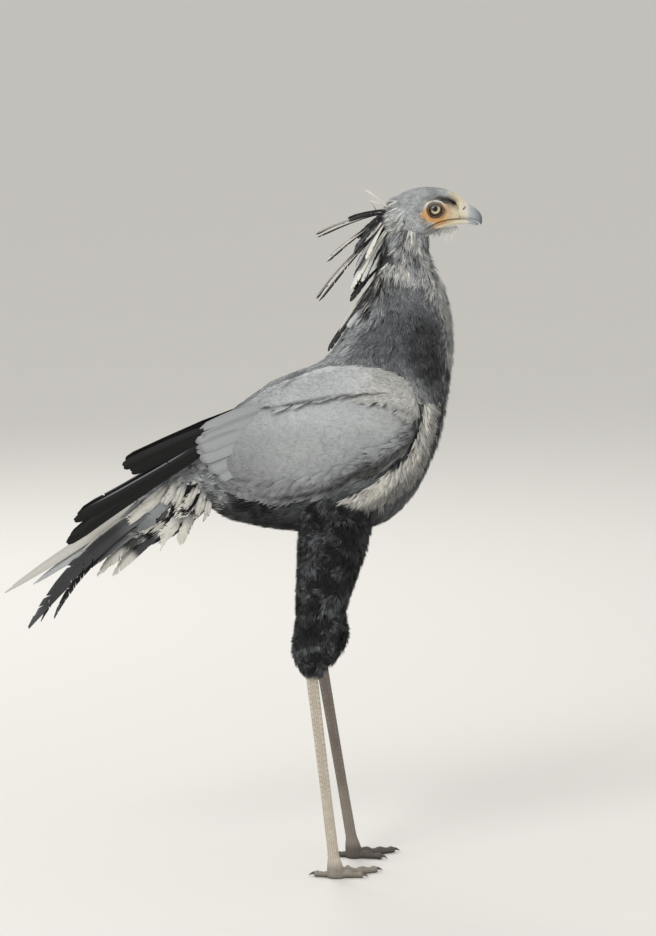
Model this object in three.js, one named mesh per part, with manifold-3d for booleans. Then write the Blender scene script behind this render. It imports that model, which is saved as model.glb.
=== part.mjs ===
// A secretary bird standing in profile, life size, as a still museum model.
// Millimetres. +X is the way the bird faces, +Y is its left side and +Z is up. The origin lies on the
// ground, under the middle of the length from the bill tip to the tail tip.
import * as THREE from 'three';
import { mergeVertices } from 'three/addons/utils/BufferGeometryUtils.js';
import Module from 'manifold-3d';

const wasm = await Module();
wasm.setup();

// Driving dimensions
const seam = 0.35; // gap between neighbouring pieces
const sides = { right: -1, left: 1 }; // the sign of Y on each side of the body

// The body from the tail root to inside the head. Each row is a cross section: back x, back z,
// belly or throat x, belly or throat z, half width.
const bodySections = [
  [-84, 655, -66, 592, 24],
  [-50, 688, -30, 560, 40],
  [8, 735, 30, 544, 59],
  [62, 766, 88, 537, 75],
  [103, 785, 158, 534, 87],
  [128, 800, 220, 553, 92],
  [142, 816, 266, 599, 92],
  [152, 832, 296, 665, 86],
  [162, 848, 311, 735, 76],
  [175, 868, 318, 800, 64],
  [190, 889, 318, 850, 53],
  [204, 910, 308, 905, 43],
  [211, 935, 292, 945, 35],
  [216, 962, 285, 968, 30],
  [221, 990, 286, 990, 28],
  [228, 1014, 290, 1008, 26],
];
const neckStart = 7.5; // the row where the neck begins
const neckEnd = 13; // the last row that shows below the head
const bodyPower = 2.15; // 2 is an ellipse and more is fuller
const flankLimit = 0.93; // how near the back or belly line, as a share, a place on the flank may be
const halvings = 40; // steps of the search for a place on the flank
const small = 0.01; // step for the slope of a surface

// The head from the nape to the root of the bill: top x, top z, bottom x, bottom z, half width.
const headSections = [
  [223, 1032, 225, 1010, 13],
  [231, 1047, 233, 998, 22],
  [246, 1058.5, 248, 991, 27],
  [263, 1065, 266, 989, 29],
  [281, 1067.5, 284, 992, 29],
  [298, 1066.5, 300, 1001, 27.5],
  [314, 1063.5, 315, 1007, 23],
  [326, 1058.5, 325, 1010, 17.5],
  [334, 1053.5, 331, 1010.5, 13.5],
];

// The upper bill with its cere and the lower bill, in rows of the same kind.
const upperBillSections = [
  [334.4, 1053.2, 331.6, 1019.7, 13.2],
  [341, 1047, 340, 1019.6, 11],
  [350, 1040.5, 349.5, 1018.4, 8.8],
  [358.5, 1034.8, 356.5, 1016.8, 6.6],
  [365, 1028.5, 361.5, 1014.8, 4.6],
  [368.4, 1021, 364.6, 1012.6, 2.8],
  [368.6, 1013, 366.6, 1009.4, 1.1],
];
const lowerBillSections = [
  [289, 1008.6, 290, 1002, 19.5],
  [302, 1014.4, 303, 1003.8, 20.3],
  [315, 1018, 316, 1007.4, 17.4],
  [329, 1019, 329, 1009.9, 13.6],
  [345, 1018.2, 345, 1010.4, 9],
  [356, 1015.8, 356, 1009.4, 6],
  [363.2, 1012.6, 362.8, 1008.2, 2.8],
];

// Eyes, lids, brows and nostrils, given for the left side and mirrored for the right.
const eye = { centre: [296, 15.4, 1034], radius: 12.2 };
const orbit = { centre: [296, 31.4, 1034], radii: [15.5, 7, 12.5] };
const lids = { centre: [296, 22.2, 1034], radii: [11.6, 4.6, 10.3] };
const brow = {
  from: [281, 25.2, 1045.5],
  to: [317, 20, 1046.5],
  arch: 2.6, // how far it bows up
  radii: [4.4, 3.4],
  thinEnd: 0.12, // share of the half turn of its fullness that is left off at each end
};
const nostril = { centre: [341, 9.8, 1034.5], radii: [4.4, 3.4, 1.3], tilt: 0.78 };

// Vane outlines: how far along from the root, and how wide there as a share of the half width.
const vaneShapes = {
  flight: [[0, 0.55], [0.3, 0.95], [0.7, 1], [0.93, 0.7], [1, 0.3]],
  quill: [[0, 0.45], [0.42, 0.5], [0.7, 0.95], [0.88, 1], [1, 0.4]],
  covert: [[0, 0.6], [0.4, 0.95], [0.78, 0.95], [1, 0.4]],
  lock: [[0, 1], [0.5, 0.75], [1, 0.2]],
};

// Crest quills on the nape: root x, z, tip x, z, half width, and how far the tip stands out sideways.
const crestQuills = [
  [219, 1040, 190, 1064, 2.6, 12],
  [219, 1038, 196, 1048, 2.6, 20],
  [222, 1031, 164, 1017, 4.4, 26],
  [220, 1026, 116, 992, 4.8, 14],
  [220, 1019, 130, 955, 4.8, 30],
  [220, 1006, 118, 894, 5.6, 18],
  [222, 998, 167, 914, 6.6, 34],
  [212, 944, 166, 894, 4.8, 24],
  [211, 932, 149, 842, 5.2, 16],
  [207, 912, 132, 817, 5.6, 26],
  [208, 901, 163, 855, 6.6, 36],
];
const crest = { headAbove: 1003, rootOut: 9, sink: 12, thick: 1, arch: 0.05, turn: 0.9, jitter: 4 };

// A folded wing seen from the side: upper edge x, z, lower edge x, z, and its height over the body.
const wingSections = [
  [266, 752, 269, 728, 4],
  [259, 771, 263, 697, 9],
  [240, 785, 246, 670, 12],
  [205, 795, 211, 643, 14],
  [160, 798, 165, 620, 15],
  [112, 791, 118, 607, 15],
  [68, 778, 72, 600, 14],
  [30, 759, 30, 600, 13],
  [-5, 736, -6, 614, 12],
  [-33, 716, -33, 638, 10],
  [-56, 701, -56, 668, 8],
  [-76, 690, -76, 676, 7],
];
const wing = { shellEnd: 9.4, edge: 3.5, root: 4, across: 6, perRow: 1.1 };
// Tiers of wing feathers: the first root and the step between them as row numbers, the share from the
// upper to the lower edge at root and tip, how many rows each is long, and its half width.
const wingTiers = [
  { count: 7, first: 0.9, step: 1.25, rootShare: 0.66, tipShare: 1.02, reach: 1.9, half: 13 },
  { count: 6, first: 1, step: 1.3, rootShare: 0.36, tipShare: 0.66, reach: 1.9, half: 15 },
  { count: 5, first: 1.6, step: 1.3, rootShare: 0.1, tipShare: 0.32, reach: 2.2, half: 15 },
];
const covert = { thick: 3.2, sink: 2.4, rise: 0.2 };

// Flight feathers on each wing, the tertials first: root x, z, tip x, z, half width, distance from the
// middle at root and tip, and how far the middle bows up.
const flightFeathers = [
  [-8, 711, -186, 636, 11, 60, 47, 5],
  [-14, 701, -170, 628, 11, 58.4, 45.2, 5],
  [-22, 697, -263, 557, 10, 56.8, 43.4, 2],
  [-26, 689, -270, 538, 10, 55.2, 41.6, 7],
  [-28, 684, -275, 519, 10, 53.6, 39.8, 12],
];
const flight = { thick: 1, keeled: true, leftDrop: 9 };
const flightCore = [
  [2, 716, -8, 668, 4.5, 57],
  [-40, 700, -46, 662, 5, 53],
  [-84, 676, -90, 648, 2.5, 50],
];

// The tail's flesh, then its feathers from the middle pair outwards: tip x, z, half width.
const tailSections = [
  [-52, 682, -42, 582, 22],
  [-90, 652, -76, 555, 26],
  [-130, 612, -114, 528, 24],
  [-172, 570, -156, 512, 15],
  [-196, 545, -188, 510, 5],
];
const tailFeathers = {
  right: [
    [-334, 388, 13],
    [-322, 452, 11],
    [-288, 440, 13],
    [-262, 452, 13],
    [-240, 462, 13],
    [-216, 474, 13],
  ],
  left: [
    [-371, 438, 10],
    [-318, 447, 11],
    [-290, 446, 13],
    [-264, 456, 13],
    [-238, 466, 13],
    [-214, 478, 13],
  ],
};
const tailFan = {
  rootX: -88,
  rootZ: 612,
  rootDrop: 9,
  first: 4, // distance of the middle pair from the middle
  spread: 4.5, // and of each next one from the one before, at the root
  tipSpread: 5, // and at the tip
  tilt: 0.8, // how far the middle pair's faces turn outwards, in radians
  turn: 0.12, // and each next one further
};
// Coverts below the tail: root x, z, tip x, z, half width.
const undertailLock = { rootOut: 22, tipOut: 24, stepIn: 2, thick: 2 };
const undertail = [
  [-62, 575, -90, 519, 9],
  [-92, 560, -118, 518, 9],
  [-118, 545, -147, 516, 9],
  [-140, 540, -190, 490, 10],
  [-165, 530, -226, 470, 10],
];

// Legs: the feathered thigh (back x, front x, z, half width, distance from the middle), the bare shank
// from hock to ankle, and the way each toe points, in degrees from straight ahead towards +Y.
const legs = {
  right: {
    thigh: [
      [104, 196, 604, 30, 46],
      [92, 194, 562, 37, 55],
      [88, 187, 520, 37, 61],
      [87, 177, 480, 33, 64],
      [85, 161, 436, 28, 66],
      [83, 147, 395, 24, 67],
      [79, 140, 361, 21, 68],
      [84, 132, 338, 17, 68],
      [97, 122, 320, 11, 68],
    ],
    hock: [104, 340],
    ankle: [142, 20],
    toeWays: { middle: 29, outer: -2, inner: 62, hind: 167 },
  },
  left: {
    thigh: [
      [112, 204, 604, 30, 46],
      [102, 202, 562, 37, 55],
      [99, 195, 520, 37, 61],
      [99, 186, 480, 33, 64],
      [99, 168, 436, 28, 66],
      [99, 158, 395, 24, 67],
      [99, 162, 358, 21.5, 68],
      [106, 155, 334, 17, 68],
      [117, 140, 315, 11, 68],
    ],
    hock: [119, 328],
    ankle: [170.8, 20],
    toeWays: { middle: 28, outer: 52, inner: -15, hind: 168 },
  },
};
const legSpread = 68; // distance of each ankle from the middle
const trouserLocks = { count: 7, from: 5.7, to: 7.9, half: 8, thick: 2, sink: 2.5, rise: 2 };
const shankRadii = [[9.2, 7.2], [8.4, 6.4], [8, 6.2], [11, 9.6]]; // half depth, half width, downwards
const scutes = { onShank: 13, from: 0.1, to: 0.93, rise: 1.3, gap: 0.06, root: 0.2 };
const heel = { drops: [8, 22], flare: [1.08, 1.3] }; // the foot's root, below the shank's end
const toes = {
  middle: { length: 75, root: 8.2, tip: 5.4, horn: 18, plates: 4 },
  outer: { length: 44, root: 7.6, tip: 5, horn: 14, plates: 3 },
  inner: { length: 48, root: 7.6, tip: 5, horn: 15, plates: 3 },
  hind: { length: 32, root: 6.6, tip: 4.6, horn: 15, plates: 2 },
};
const toeShape = {
  sole: 0.88, // height of a toe's middle line in its own radii, so that the sole is a flat
  rootLift: 5, // how much higher the line starts, inside the heel
  taper: 1.4, // a toe has its end's radius from this share's inverse onwards
  plates: [0.26, 0.93], // the stretch with raised plates
  end: 0.6, // the last ring's radius as a share of the tip's
};
const claw = {
  root: -4, // each claw starts this far inside its toe's end
  radii: [[2.3, 3], [2.4, 3.1], [1.8, 2.3], [0.6, 0.7]],
  heights: [5, 6.2, 5, 1.2],
  bend: 0.6, // where along its length it turns down
};

// Colours of the real bird
function finish(color, roughness) {
  return new THREE.MeshStandardMaterial({ color, roughness, metalness: 0 });
}
const paint = {
  grey: finish(0xa9adb0, 0.9),
  pale: finish(0xc4c7c8, 0.9),
  black: finish(0x1d1d20, 0.8),
  face: finish(0xd98a3d, 0.6),
  horn: finish(0x8d979c, 0.4),
  leg: finish(0xc2a591, 0.6),
  claw: finish(0x2a2725, 0.4),
  eyes: finish(0x6a4a2a, 0.15),
};

// Small helpers
function point(x, y, z) {
  return new THREE.Vector3(x, y, z);
}

function onSide([x, y, z], side) {
  return point(x, side * y, z);
}

// Draws between -1 and 1 that are the same on every run.
function drawsFrom(seed) {
  let state = seed;
  return () => {
    state = (state * 16807) % 2147483647;
    return (2 * state) / 2147483647 - 1;
  };
}

// A smooth value for each column of a table of sections, at a row number that may be fractional.
function sectionAt(sections, row) {
  const last = sections.length - 1;
  const at = Math.min(Math.max(row, 0), last);
  const i = Math.min(Math.floor(at), last - 1);
  const t = at - i;
  const near = (k) => sections[Math.min(Math.max(k, 0), last)];
  return sections[0].map((_, column) => {
    const [a, b, c, d] = [i - 1, i, i + 1, i + 2].map((k) => near(k)[column]);
    const slope = (c - a) / 2;
    const next = (d - b) / 2;
    const bend = 3 * (c - b) - 2 * slope - next;
    const twist = 2 * (b - c) + slope + next;
    return b + t * (slope + t * (bend + t * twist));
  });
}

// Solids

function solid(geometry) {
  const plain = geometry.clone();
  plain.deleteAttribute('normal');
  plain.deleteAttribute('uv');
  const merged = mergeVertices(plain, 1e-3);
  const vertProperties = merged.attributes.position.array;
  const triVerts = new Uint32Array(merged.index.array);
  const made = new wasm.Manifold(new wasm.Mesh({ numProp: 3, vertProperties, triVerts }));
  if (made.volume() > 0) return made;
  // its faces point in, and with each face's corners in reverse they point out
  return new wasm.Manifold(new wasm.Mesh({ numProp: 3, vertProperties, triVerts: triVerts.reverse() }));
}

function fuse(pieces) {
  return pieces.reduce((whole, piece) => whole.add(piece));
}

function cut(whole, tools) {
  return tools.reduce((rest, tool) => rest.subtract(tool), whole);
}

// The largest closed surface, without loose scraps or sealed hollows.
function largest(whole) {
  return whole.decompose().reduce((a, b) => (a.volume() > b.volume() ? a : b));
}

// A closed skin through rings of points. The second half of each ring is split into triangles the other
// way round, so that the two faces of a thin vane have their triangles alike.
function skinned(rings) {
  const around = rings[0].length;
  const points = rings.flat();
  const faces = [];
  for (let i = 0; i + 1 < rings.length; i++) {
    for (let j = 0; j < around; j++) {
      const a = i * around + j;
      const b = i * around + ((j + 1) % around);
      const [c, d] = [b + around, a + around];
      faces.push(...(j < around / 2 ? [a, b, c, a, c, d] : [a, b, d, b, c, d]));
    }
  }
  [0, rings.length - 1].forEach((i) => {
    const middle = rings[i].reduce((sum, p) => sum.add(p), point(0, 0, 0)).divideScalar(around);
    points.push(middle);
    for (let j = 0; j < around; j++) {
      const a = i * around + j;
      const b = i * around + ((j + 1) % around);
      faces.push(...(i ? [a, b] : [b, a]), points.length - 1);
    }
  });
  const geometry = new THREE.BufferGeometry().setFromPoints(points);
  geometry.setIndex(faces);
  return solid(geometry);
}

// A point on a lofted form, at a row number and an angle: 0 at its back and a half turn at its belly.
function formPoint(form, row, angle, grow = 0) {
  const [topX, topZ, lowX, lowZ, half, middle = 0] = sectionAt(form.sections, row);
  const power = 2 / (form.power ?? 2);
  const along = Math.sign(Math.cos(angle)) * Math.abs(Math.cos(angle)) ** power;
  const across = Math.sign(Math.sin(angle)) * Math.abs(Math.sin(angle)) ** power;
  const reach = along * (0.5 + grow / Math.hypot(topX - lowX, topZ - lowZ));
  const width = (half + grow) * (1 - (form.taper ?? 0) * along);
  return point(
    (topX + lowX) / 2 + reach * (topX - lowX),
    (form.side ?? 1) * middle + across * width,
    (topZ + lowZ) / 2 + reach * (topZ - lowZ),
  );
}

// A form between two rows, as a solid, or that much larger all round with grow.
function loft(form, { from = 0, to = form.sections.length - 1, grow = 0 } = {}) {
  const steps = Math.max(1, Math.round((to - from) * form.perRow));
  const rings = Array.from({ length: steps + 1 }, (_, i) => {
    const row = from + ((to - from) * i) / steps;
    const angles = Array.from({ length: form.around }, (__, j) => (2 * Math.PI * j) / form.around);
    return angles.map((angle) => formPoint(form, row, angle, grow));
  });
  if (grow) {
    [[0, 1], [steps, steps - 1]].forEach(([end, inner]) => {
      const out = rings[end][0].clone().add(rings[end][form.around / 2]);
      out.sub(rings[inner][0]).sub(rings[inner][form.around / 2]).setLength(grow);
      rings[end].forEach((p) => p.add(out));
    });
  }
  return skinned(rings);
}

// A round bar along a line of points, with a half width, a half height and, for a raised plate, how far
// the upper side stands out at each of them.
function bar(points, radii, { around = 8, across = point(0, 1, 0), grow = 0 } = {}) {
  const last = points.length - 1;
  return skinned(points.map((p, i) => {
    const way = points[Math.min(i + 1, last)].clone().sub(points[Math.max(i - 1, 0)]).normalize();
    const up = way.clone().cross(across).normalize();
    const side = up.clone().cross(way);
    const centre = p.clone().addScaledVector(way, i === 0 ? -grow : i === last ? grow : 0);
    const [wide, high, raised = 0] = radii[i];
    return Array.from({ length: around }, (_, j) => {
      const angle = (2 * Math.PI * j) / around;
      const out = grow + raised * Math.max(0, Math.sin(angle));
      return centre.clone()
        .addScaledVector(side, (wide + out) * Math.cos(angle))
        .addScaledVector(up, (high + out) * Math.sin(angle));
    });
  }));
}

function ellipsoid(centre, radii, { turn = 0, around = 12, rows = 8 } = {}) {
  const geometry = new THREE.SphereGeometry(1, around, rows);
  geometry.scale(...radii);
  geometry.rotateY(turn);
  geometry.translate(centre.x, centre.y, centre.z);
  return solid(geometry);
}

function slabBelow(z) {
  const geometry = new THREE.BoxGeometry(1200, 600, 100);
  geometry.translate(0, 0, z - 50);
  return solid(geometry);
}

// A vane in the open: a thin plate along a curve that faces the way of outward. A keeled one has its
// middle raised into a shaft.
function vane(line, outward, { shape, half, thick, grow = 0, keeled = false }) {
  const curve = new THREE.CatmullRomCurve3(line);
  return skinned(vaneShapes[shape].map(([share, wide], i, all) => {
    const along = curve.getTangent(share);
    const across = outward.clone().cross(along).normalize();
    const up = along.clone().cross(across);
    const end = i === 0 ? -grow : i === all.length - 1 ? grow : 0;
    const spot = (sideways, height) => curve.getPoint(share)
      .addScaledVector(along, end)
      .addScaledVector(across, sideways * (half * wide + grow))
      .addScaledVector(up, height * (thick / 2 + grow) - thick * Math.abs(sideways));
    const upper = (keeled ? [-1, 0, 1] : [-1, 1]).map((sideways) => spot(sideways, 1));
    return [...upper, ...(keeled ? [1, 0, -1] : [1, -1]).map((sideways) => spot(sideways, -1))];
  }));
}

// A vane that lies on a surface, which is a function of two coordinates and a height over it. The vane
// runs from a root that is sunk in to a tip that is raised, and bends with the surface.
function laidVane(surface, from, to, { shape, half, thick, sink, rise }) {
  const way = [to[0] - from[0], to[1] - from[1]];
  return skinned(vaneShapes[shape].map(([share, wide]) => {
    const [u, v] = [from[0] + share * way[0], from[1] + share * way[1]];
    const lift = share * (sink + rise) - sink;
    const here = surface(u, v, lift);
    const byU = surface(u + small, v, lift).sub(here).divideScalar(small);
    const byV = surface(u, v + small, lift).sub(here).divideScalar(small);
    const along = byU.clone().multiplyScalar(way[0]).addScaledVector(byV, way[1]);
    const across = byU.clone().cross(byV).cross(along).setLength(half * wide);
    // the step across the vane, in the surface's own two coordinates
    const [uu, uv, vv] = [byU.dot(byU), byU.dot(byV), byV.dot(byV)];
    const [au, av] = [across.dot(byU), across.dot(byV)];
    const det = uu * vv - uv * uv;
    const [stepU, stepV] = [(au * vv - av * uv) / det, (av * uu - au * uv) / det];
    const spot = (sideways, height) => {
      return surface(u + sideways * stepU, v + sideways * stepV, lift + (height * thick) / 2);
    };
    return [spot(-1, 1), spot(1, 1), spot(1, -1), spot(-1, -1)];
  }));
}

const bird = new THREE.Group();

function addNode(name, whole, material) {
  const { numProp, vertProperties, triVerts } = largest(whole).getMesh();
  const geometry = new THREE.BufferGeometry();
  const position = vertProperties.filter((_, i) => i % numProp < 3);
  geometry.setAttribute('position', new THREE.BufferAttribute(position, 3));
  geometry.setIndex(new THREE.BufferAttribute(triVerts, 1));
  geometry.computeVertexNormals();
  const node = new THREE.Mesh(geometry, material);
  node.name = name;
  bird.add(node);
}

// The forms that neighbours are cut by
const body = { sections: bodySections, power: bodyPower, around: 18, perRow: 4 / 3 };
const head = { sections: headSections, power: 2.1, taper: 0.22, around: 20, perRow: 1.5 };
const upperBill = { sections: upperBillSections, taper: 0.45, around: 12, perRow: 2 };
const lowerBill = { sections: lowerBillSections, power: 3, taper: -0.1, around: 10, perRow: 1 };
const tailCore = { sections: tailSections, power: 2.2, around: 10, perRow: 1 };
const bodyRoom = loft(body, { grow: seam });
const headRoom = loft(head, { grow: seam });
const tailRoom = loft(tailCore, { grow: seam });
const ground = slabBelow(0);

function buildTorso() {
  addNode('torso', loft(body, { to: neckStart }), paint.grey);
}

// Quills of the crest that grow from the head, or else those that grow from the neck.
function crestOf(fromHead, grow = 0) {
  return Object.values(sides).flatMap((side) => {
    const draw = drawsFrom(side < 0 ? 31 : 57);
    return crestQuills.flatMap(([rootX, rootZ, tipX, tipZ, half, out]) => {
      const stray = side < 0 ? [0, 0] : [draw() * crest.jitter, draw() * crest.jitter];
      if (rootZ > crest.headAbove !== fromHead) return [];
      const tip = point(tipX + stray[0], side * out, tipZ + stray[1]);
      const root = point(rootX, side * crest.rootOut, rootZ);
      const way = tip.clone().sub(root);
      root.addScaledVector(way, -crest.sink / way.length());
      const middle = root.clone().lerp(tip, 0.5).add(point(0, 0, way.length() * crest.arch));
      const outward = point(way.z, 0, -way.x).normalize().multiplyScalar(Math.cos(crest.turn));
      outward.y = side * Math.sin(crest.turn);
      return [vane([root, middle, tip], outward, { shape: 'quill', half, thick: crest.thick, grow })];
    });
  });
}

function buildNeck() {
  const whole = fuse([loft(body, { from: neckStart }), ...crestOf(false)]);
  const torsoRoom = loft(body, { to: neckStart, grow: seam });
  addNode('neck', cut(whole, [torsoRoom, headRoom, ...crestOf(true, seam)]), paint.grey);
}

function browRidge(side) {
  const [from, to] = [onSide(brow.from, side), onSide(brow.to, side)];
  const shares = [0, 0.2, 0.4, 0.6, 0.8, 1];
  const bow = (share) => Math.sin(Math.PI * share);
  const points = shares.map((share) => {
    return from.clone().lerp(to, share).add(point(0, 0, brow.arch * bow(share)));
  });
  const full = (share) => bow(brow.thinEnd + (1 - 2 * brow.thinEnd) * share);
  return bar(points, shares.map((share) => brow.radii.map((r) => r * full(share))));
}

function buildHead() {
  let whole = loft(head);
  Object.entries(sides).forEach(([name, side]) => {
    const centre = onSide(eye.centre, side);
    whole = cut(whole, [ellipsoid(onSide(orbit.centre, side), orbit.radii, { rows: 7 })]);
    whole = fuse([whole, ellipsoid(onSide(lids.centre, side), lids.radii), browRidge(side)]);
    whole = cut(whole, [ellipsoid(centre, Array(3).fill(eye.radius + seam))]);
    addNode('eye_' + name, ellipsoid(centre, Array(3).fill(eye.radius)), paint.eyes);
  });
  whole = fuse([whole, ...crestOf(true)]);
  addNode('head', cut(whole, [loft(lowerBill, { grow: seam })]), paint.face);
}

function buildBill() {
  const slits = Object.values(sides).map((side) => {
    const { centre, radii, tilt } = nostril;
    return ellipsoid(onSide(centre, side), radii, { turn: -tilt, around: 8, rows: 5 });
  });
  addNode('bill_upper', cut(loft(upperBill), [...slits, headRoom]), paint.horn);
  addNode('bill_lower', loft(lowerBill), paint.horn);
}

// The row number and angle on the body of what a side view shows at x, z.
function placeOnBody(x, z, side) {
  const ahead = (row) => {
    const [topX, topZ, lowX, lowZ] = sectionAt(bodySections, row);
    return (lowX - topX) * (z - topZ) - (lowZ - topZ) * (x - topX);
  };
  let [low, high] = [0, neckEnd];
  for (let i = 0; i < halvings; i++) {
    const middle = (low + high) / 2;
    if (ahead(middle) > 0) low = middle;
    else high = middle;
  }
  const [topX, topZ, lowX, lowZ] = sectionAt(bodySections, low);
  const [deepX, deepZ] = [lowX - topX, lowZ - topZ];
  const share = ((x - topX) * deepX + (z - topZ) * deepZ) / (deepX ** 2 + deepZ ** 2);
  const along = THREE.MathUtils.clamp(1 - 2 * share, -flankLimit, flankLimit);
  return [low, side * Math.acos(Math.sign(along) * Math.abs(along) ** (bodyPower / 2))];
}

// A point over the body, from its side view and its height over the skin.
function overBody(x, z, side, height) {
  const [row, angle] = placeOnBody(x, z, side);
  const forward = formPoint(body, row + small, angle).sub(formPoint(body, row - small, angle));
  const round = formPoint(body, row, angle + small).sub(formPoint(body, row, angle - small));
  const normal = round.cross(forward).normalize();
  return formPoint(body, row, angle).addScaledVector(normal, height * Math.sign(normal.y * side));
}

// A point over the wing's outer face, at a row number and a share from its upper to its lower edge.
function overWing(side, row, share, height) {
  const [topX, topZ, lowX, lowZ, thick] = sectionAt(wingSections, row);
  const edgeness = Math.min(Math.abs(2 * share - 1), 1);
  const dome = (1 - edgeness ** 3) ** 0.7;
  const over = wing.edge + (thick - wing.edge) * dome + height;
  return overBody(topX + share * (lowX - topX), topZ + share * (lowZ - topZ), side, over);
}

function wingShell(side) {
  const steps = Math.round(wing.shellEnd * wing.perRow);
  const shares = Array.from({ length: wing.across + 1 }, (_, j) => j / wing.across);
  return skinned(Array.from({ length: steps + 1 }, (_, i) => {
    const row = (wing.shellEnd * i) / steps;
    const [topX, topZ, lowX, lowZ] = sectionAt(wingSections, row);
    const inner = (t) => overBody(topX + t * (lowX - topX), topZ + t * (lowZ - topZ), side, -wing.root);
    return [...shares.map((t) => overWing(side, row, t, 0)), ...shares.map(inner).reverse()];
  }));
}

function wingVanes(side) {
  const surface = (row, share, height) => overWing(side, row, share, height);
  return wingTiers.flatMap(({ count, first, step, rootShare, tipShare, reach, half }) => {
    return Array.from({ length: count }, (_, i) => {
      const row = first + i * step;
      const to = [Math.min(row + reach, wingSections.length - 1.2), tipShare];
      return laidVane(surface, [row, rootShare], to, { ...covert, shape: 'covert', half });
    });
  });
}

function flightVanes(side, grow = 0) {
  const core = loft({ sections: flightCore, around: 10, perRow: 2, side }, { grow });
  return [core, ...flightFeathers.map(([rootX, rootZ, tipX, tipZ, half, rootOut, tipOut, bow]) => {
    const drop = side > 0 ? flight.leftDrop : 0;
    const root = point(rootX, side * rootOut, rootZ);
    const tip = point(tipX, side * tipOut, tipZ - drop);
    const middle = root.clone().lerp(tip, 0.5).add(point(0, 0, bow - drop / 2));
    return vane([root, middle, tip], point(0, side, 0), { ...flight, shape: 'flight', half, grow });
  })];
}

function buildWing(name, side) {
  const shell = fuse([wingShell(side), ...wingVanes(side)]);
  const room = [bodyRoom, ...flightVanes(side, seam), tailRoom, thighForm(name, seam)];
  addNode('wing_' + name, cut(shell, room), paint.pale);
  addNode('flight_' + name, cut(fuse(flightVanes(side)), [bodyRoom, tailRoom]), paint.black);
}

function tailVanes(name, side) {
  return tailFeathers[name].map(([tipX, tipZ, half], i) => {
    const { rootX, rootZ, rootDrop, first, spread, tipSpread } = tailFan;
    const root = point(rootX, side * (first + i * spread), rootZ - i * rootDrop);
    const tip = point(tipX, side * (first + i * tipSpread), tipZ);
    const way = tip.clone().sub(root);
    const middle = root.clone().lerp(tip, 0.5);
    const tilt = tailFan.tilt + i * tailFan.turn;
    const outward = point(way.z, 0, -way.x).normalize().multiplyScalar(Math.cos(tilt));
    outward.y = side * Math.sin(tilt);
    return vane([root, middle, tip], outward, { ...flight, shape: 'flight', half });
  });
}

function undertailLocks(side) {
  return undertail.map(([rootX, rootZ, tipX, tipZ, half], i) => {
    const { rootOut, tipOut, stepIn, thick } = undertailLock;
    const root = point(rootX, side * (rootOut - i * stepIn), rootZ);
    const tip = point(tipX, side * (tipOut - i * stepIn), tipZ);
    const middle = root.clone().lerp(tip, 0.5);
    return vane([root, middle, tip], point(0, side, 0), { shape: 'lock', half, thick });
  });
}

function buildTail() {
  const vanes = Object.entries(sides).flatMap(([name, side]) => {
    return [...tailVanes(name, side), ...undertailLocks(side)];
  });
  const flight = Object.values(sides).flatMap((side) => flightVanes(side, seam));
  addNode('tail', cut(fuse([loft(tailCore), ...vanes]), [bodyRoom, ...flight]), paint.grey);
}

function thighLoft(name) {
  const sections = legs[name].thigh.map(([back, front, z, half, middle]) => {
    return [front, z, back, z, half, middle];
  });
  return { sections, around: 14, perRow: 1.5, side: sides[name] };
}

function thighForm(name, grow = 0) {
  return loft(thighLoft(name), { grow });
}

function thighLocks(name) {
  const { count, from, to } = trouserLocks;
  const form = thighLoft(name);
  const surface = (row, angle, height) => formPoint(form, row, angle, height);
  return Array.from({ length: count }, (_, i) => {
    const angle = (2 * Math.PI * (i + 0.5)) / count;
    return laidVane(surface, [from, angle], [to - (i % 2) * 0.3, angle], { ...trouserLocks, shape: 'lock' });
  });
}

function ankleOf(name) {
  const [x, z] = legs[name].ankle;
  return point(x, sides[name] * legSpread, z);
}

// The root of the foot, which goes on from the shank's end and widens towards the ground.
function heelBlock(name) {
  const [x, z] = legs[name].hock;
  const ankle = ankleOf(name);
  const way = ankle.clone().sub(point(x, sides[name] * legSpread, z)).normalize();
  const [deep, wide] = shankRadii[shankRadii.length - 1];
  const drops = [seam, ...heel.drops];
  const radii = [1, ...heel.flare].map((share) => [wide * share, deep * share]);
  return bar(drops.map((drop) => ankle.clone().addScaledVector(way, drop)), radii);
}

// Places along a limb with the height of its scutes there: each is low at its start and high at its end.
function scuteStops(count, from, to) {
  const pitch = (to - from) / count;
  const starts = Array.from({ length: count }, (_, i) => from + i * pitch);
  return starts.flatMap((start) => [[start, scutes.root], [start + pitch * (1 - scutes.gap), scutes.rise]]);
}

function shank(name, grow = 0) {
  const [x, z] = legs[name].hock;
  const hock = point(x, sides[name] * legSpread, z);
  const stops = [[0, 0], ...scuteStops(scutes.onShank, scutes.from, scutes.to), [1, 0]];
  const radii = stops.map(([share, raised]) => {
    const [deep, wide] = sectionAt(shankRadii, share * (shankRadii.length - 1));
    return [wide, deep, raised];
  });
  return bar(stops.map(([share]) => hock.clone().lerp(ankleOf(name), share)), radii, { grow });
}

// Points at distances and heights along a toe, and the direction across it.
function toeLine(name, toeName, stops) {
  const turn = THREE.MathUtils.degToRad(legs[name].toeWays[toeName]);
  const way = point(Math.cos(turn), Math.sin(turn), 0);
  const root = ankleOf(name).setZ(0);
  const points = stops.map(([distance, z]) => root.clone().addScaledVector(way, distance).setZ(z));
  return { points, across: point(-way.y, way.x, 0) };
}

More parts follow.
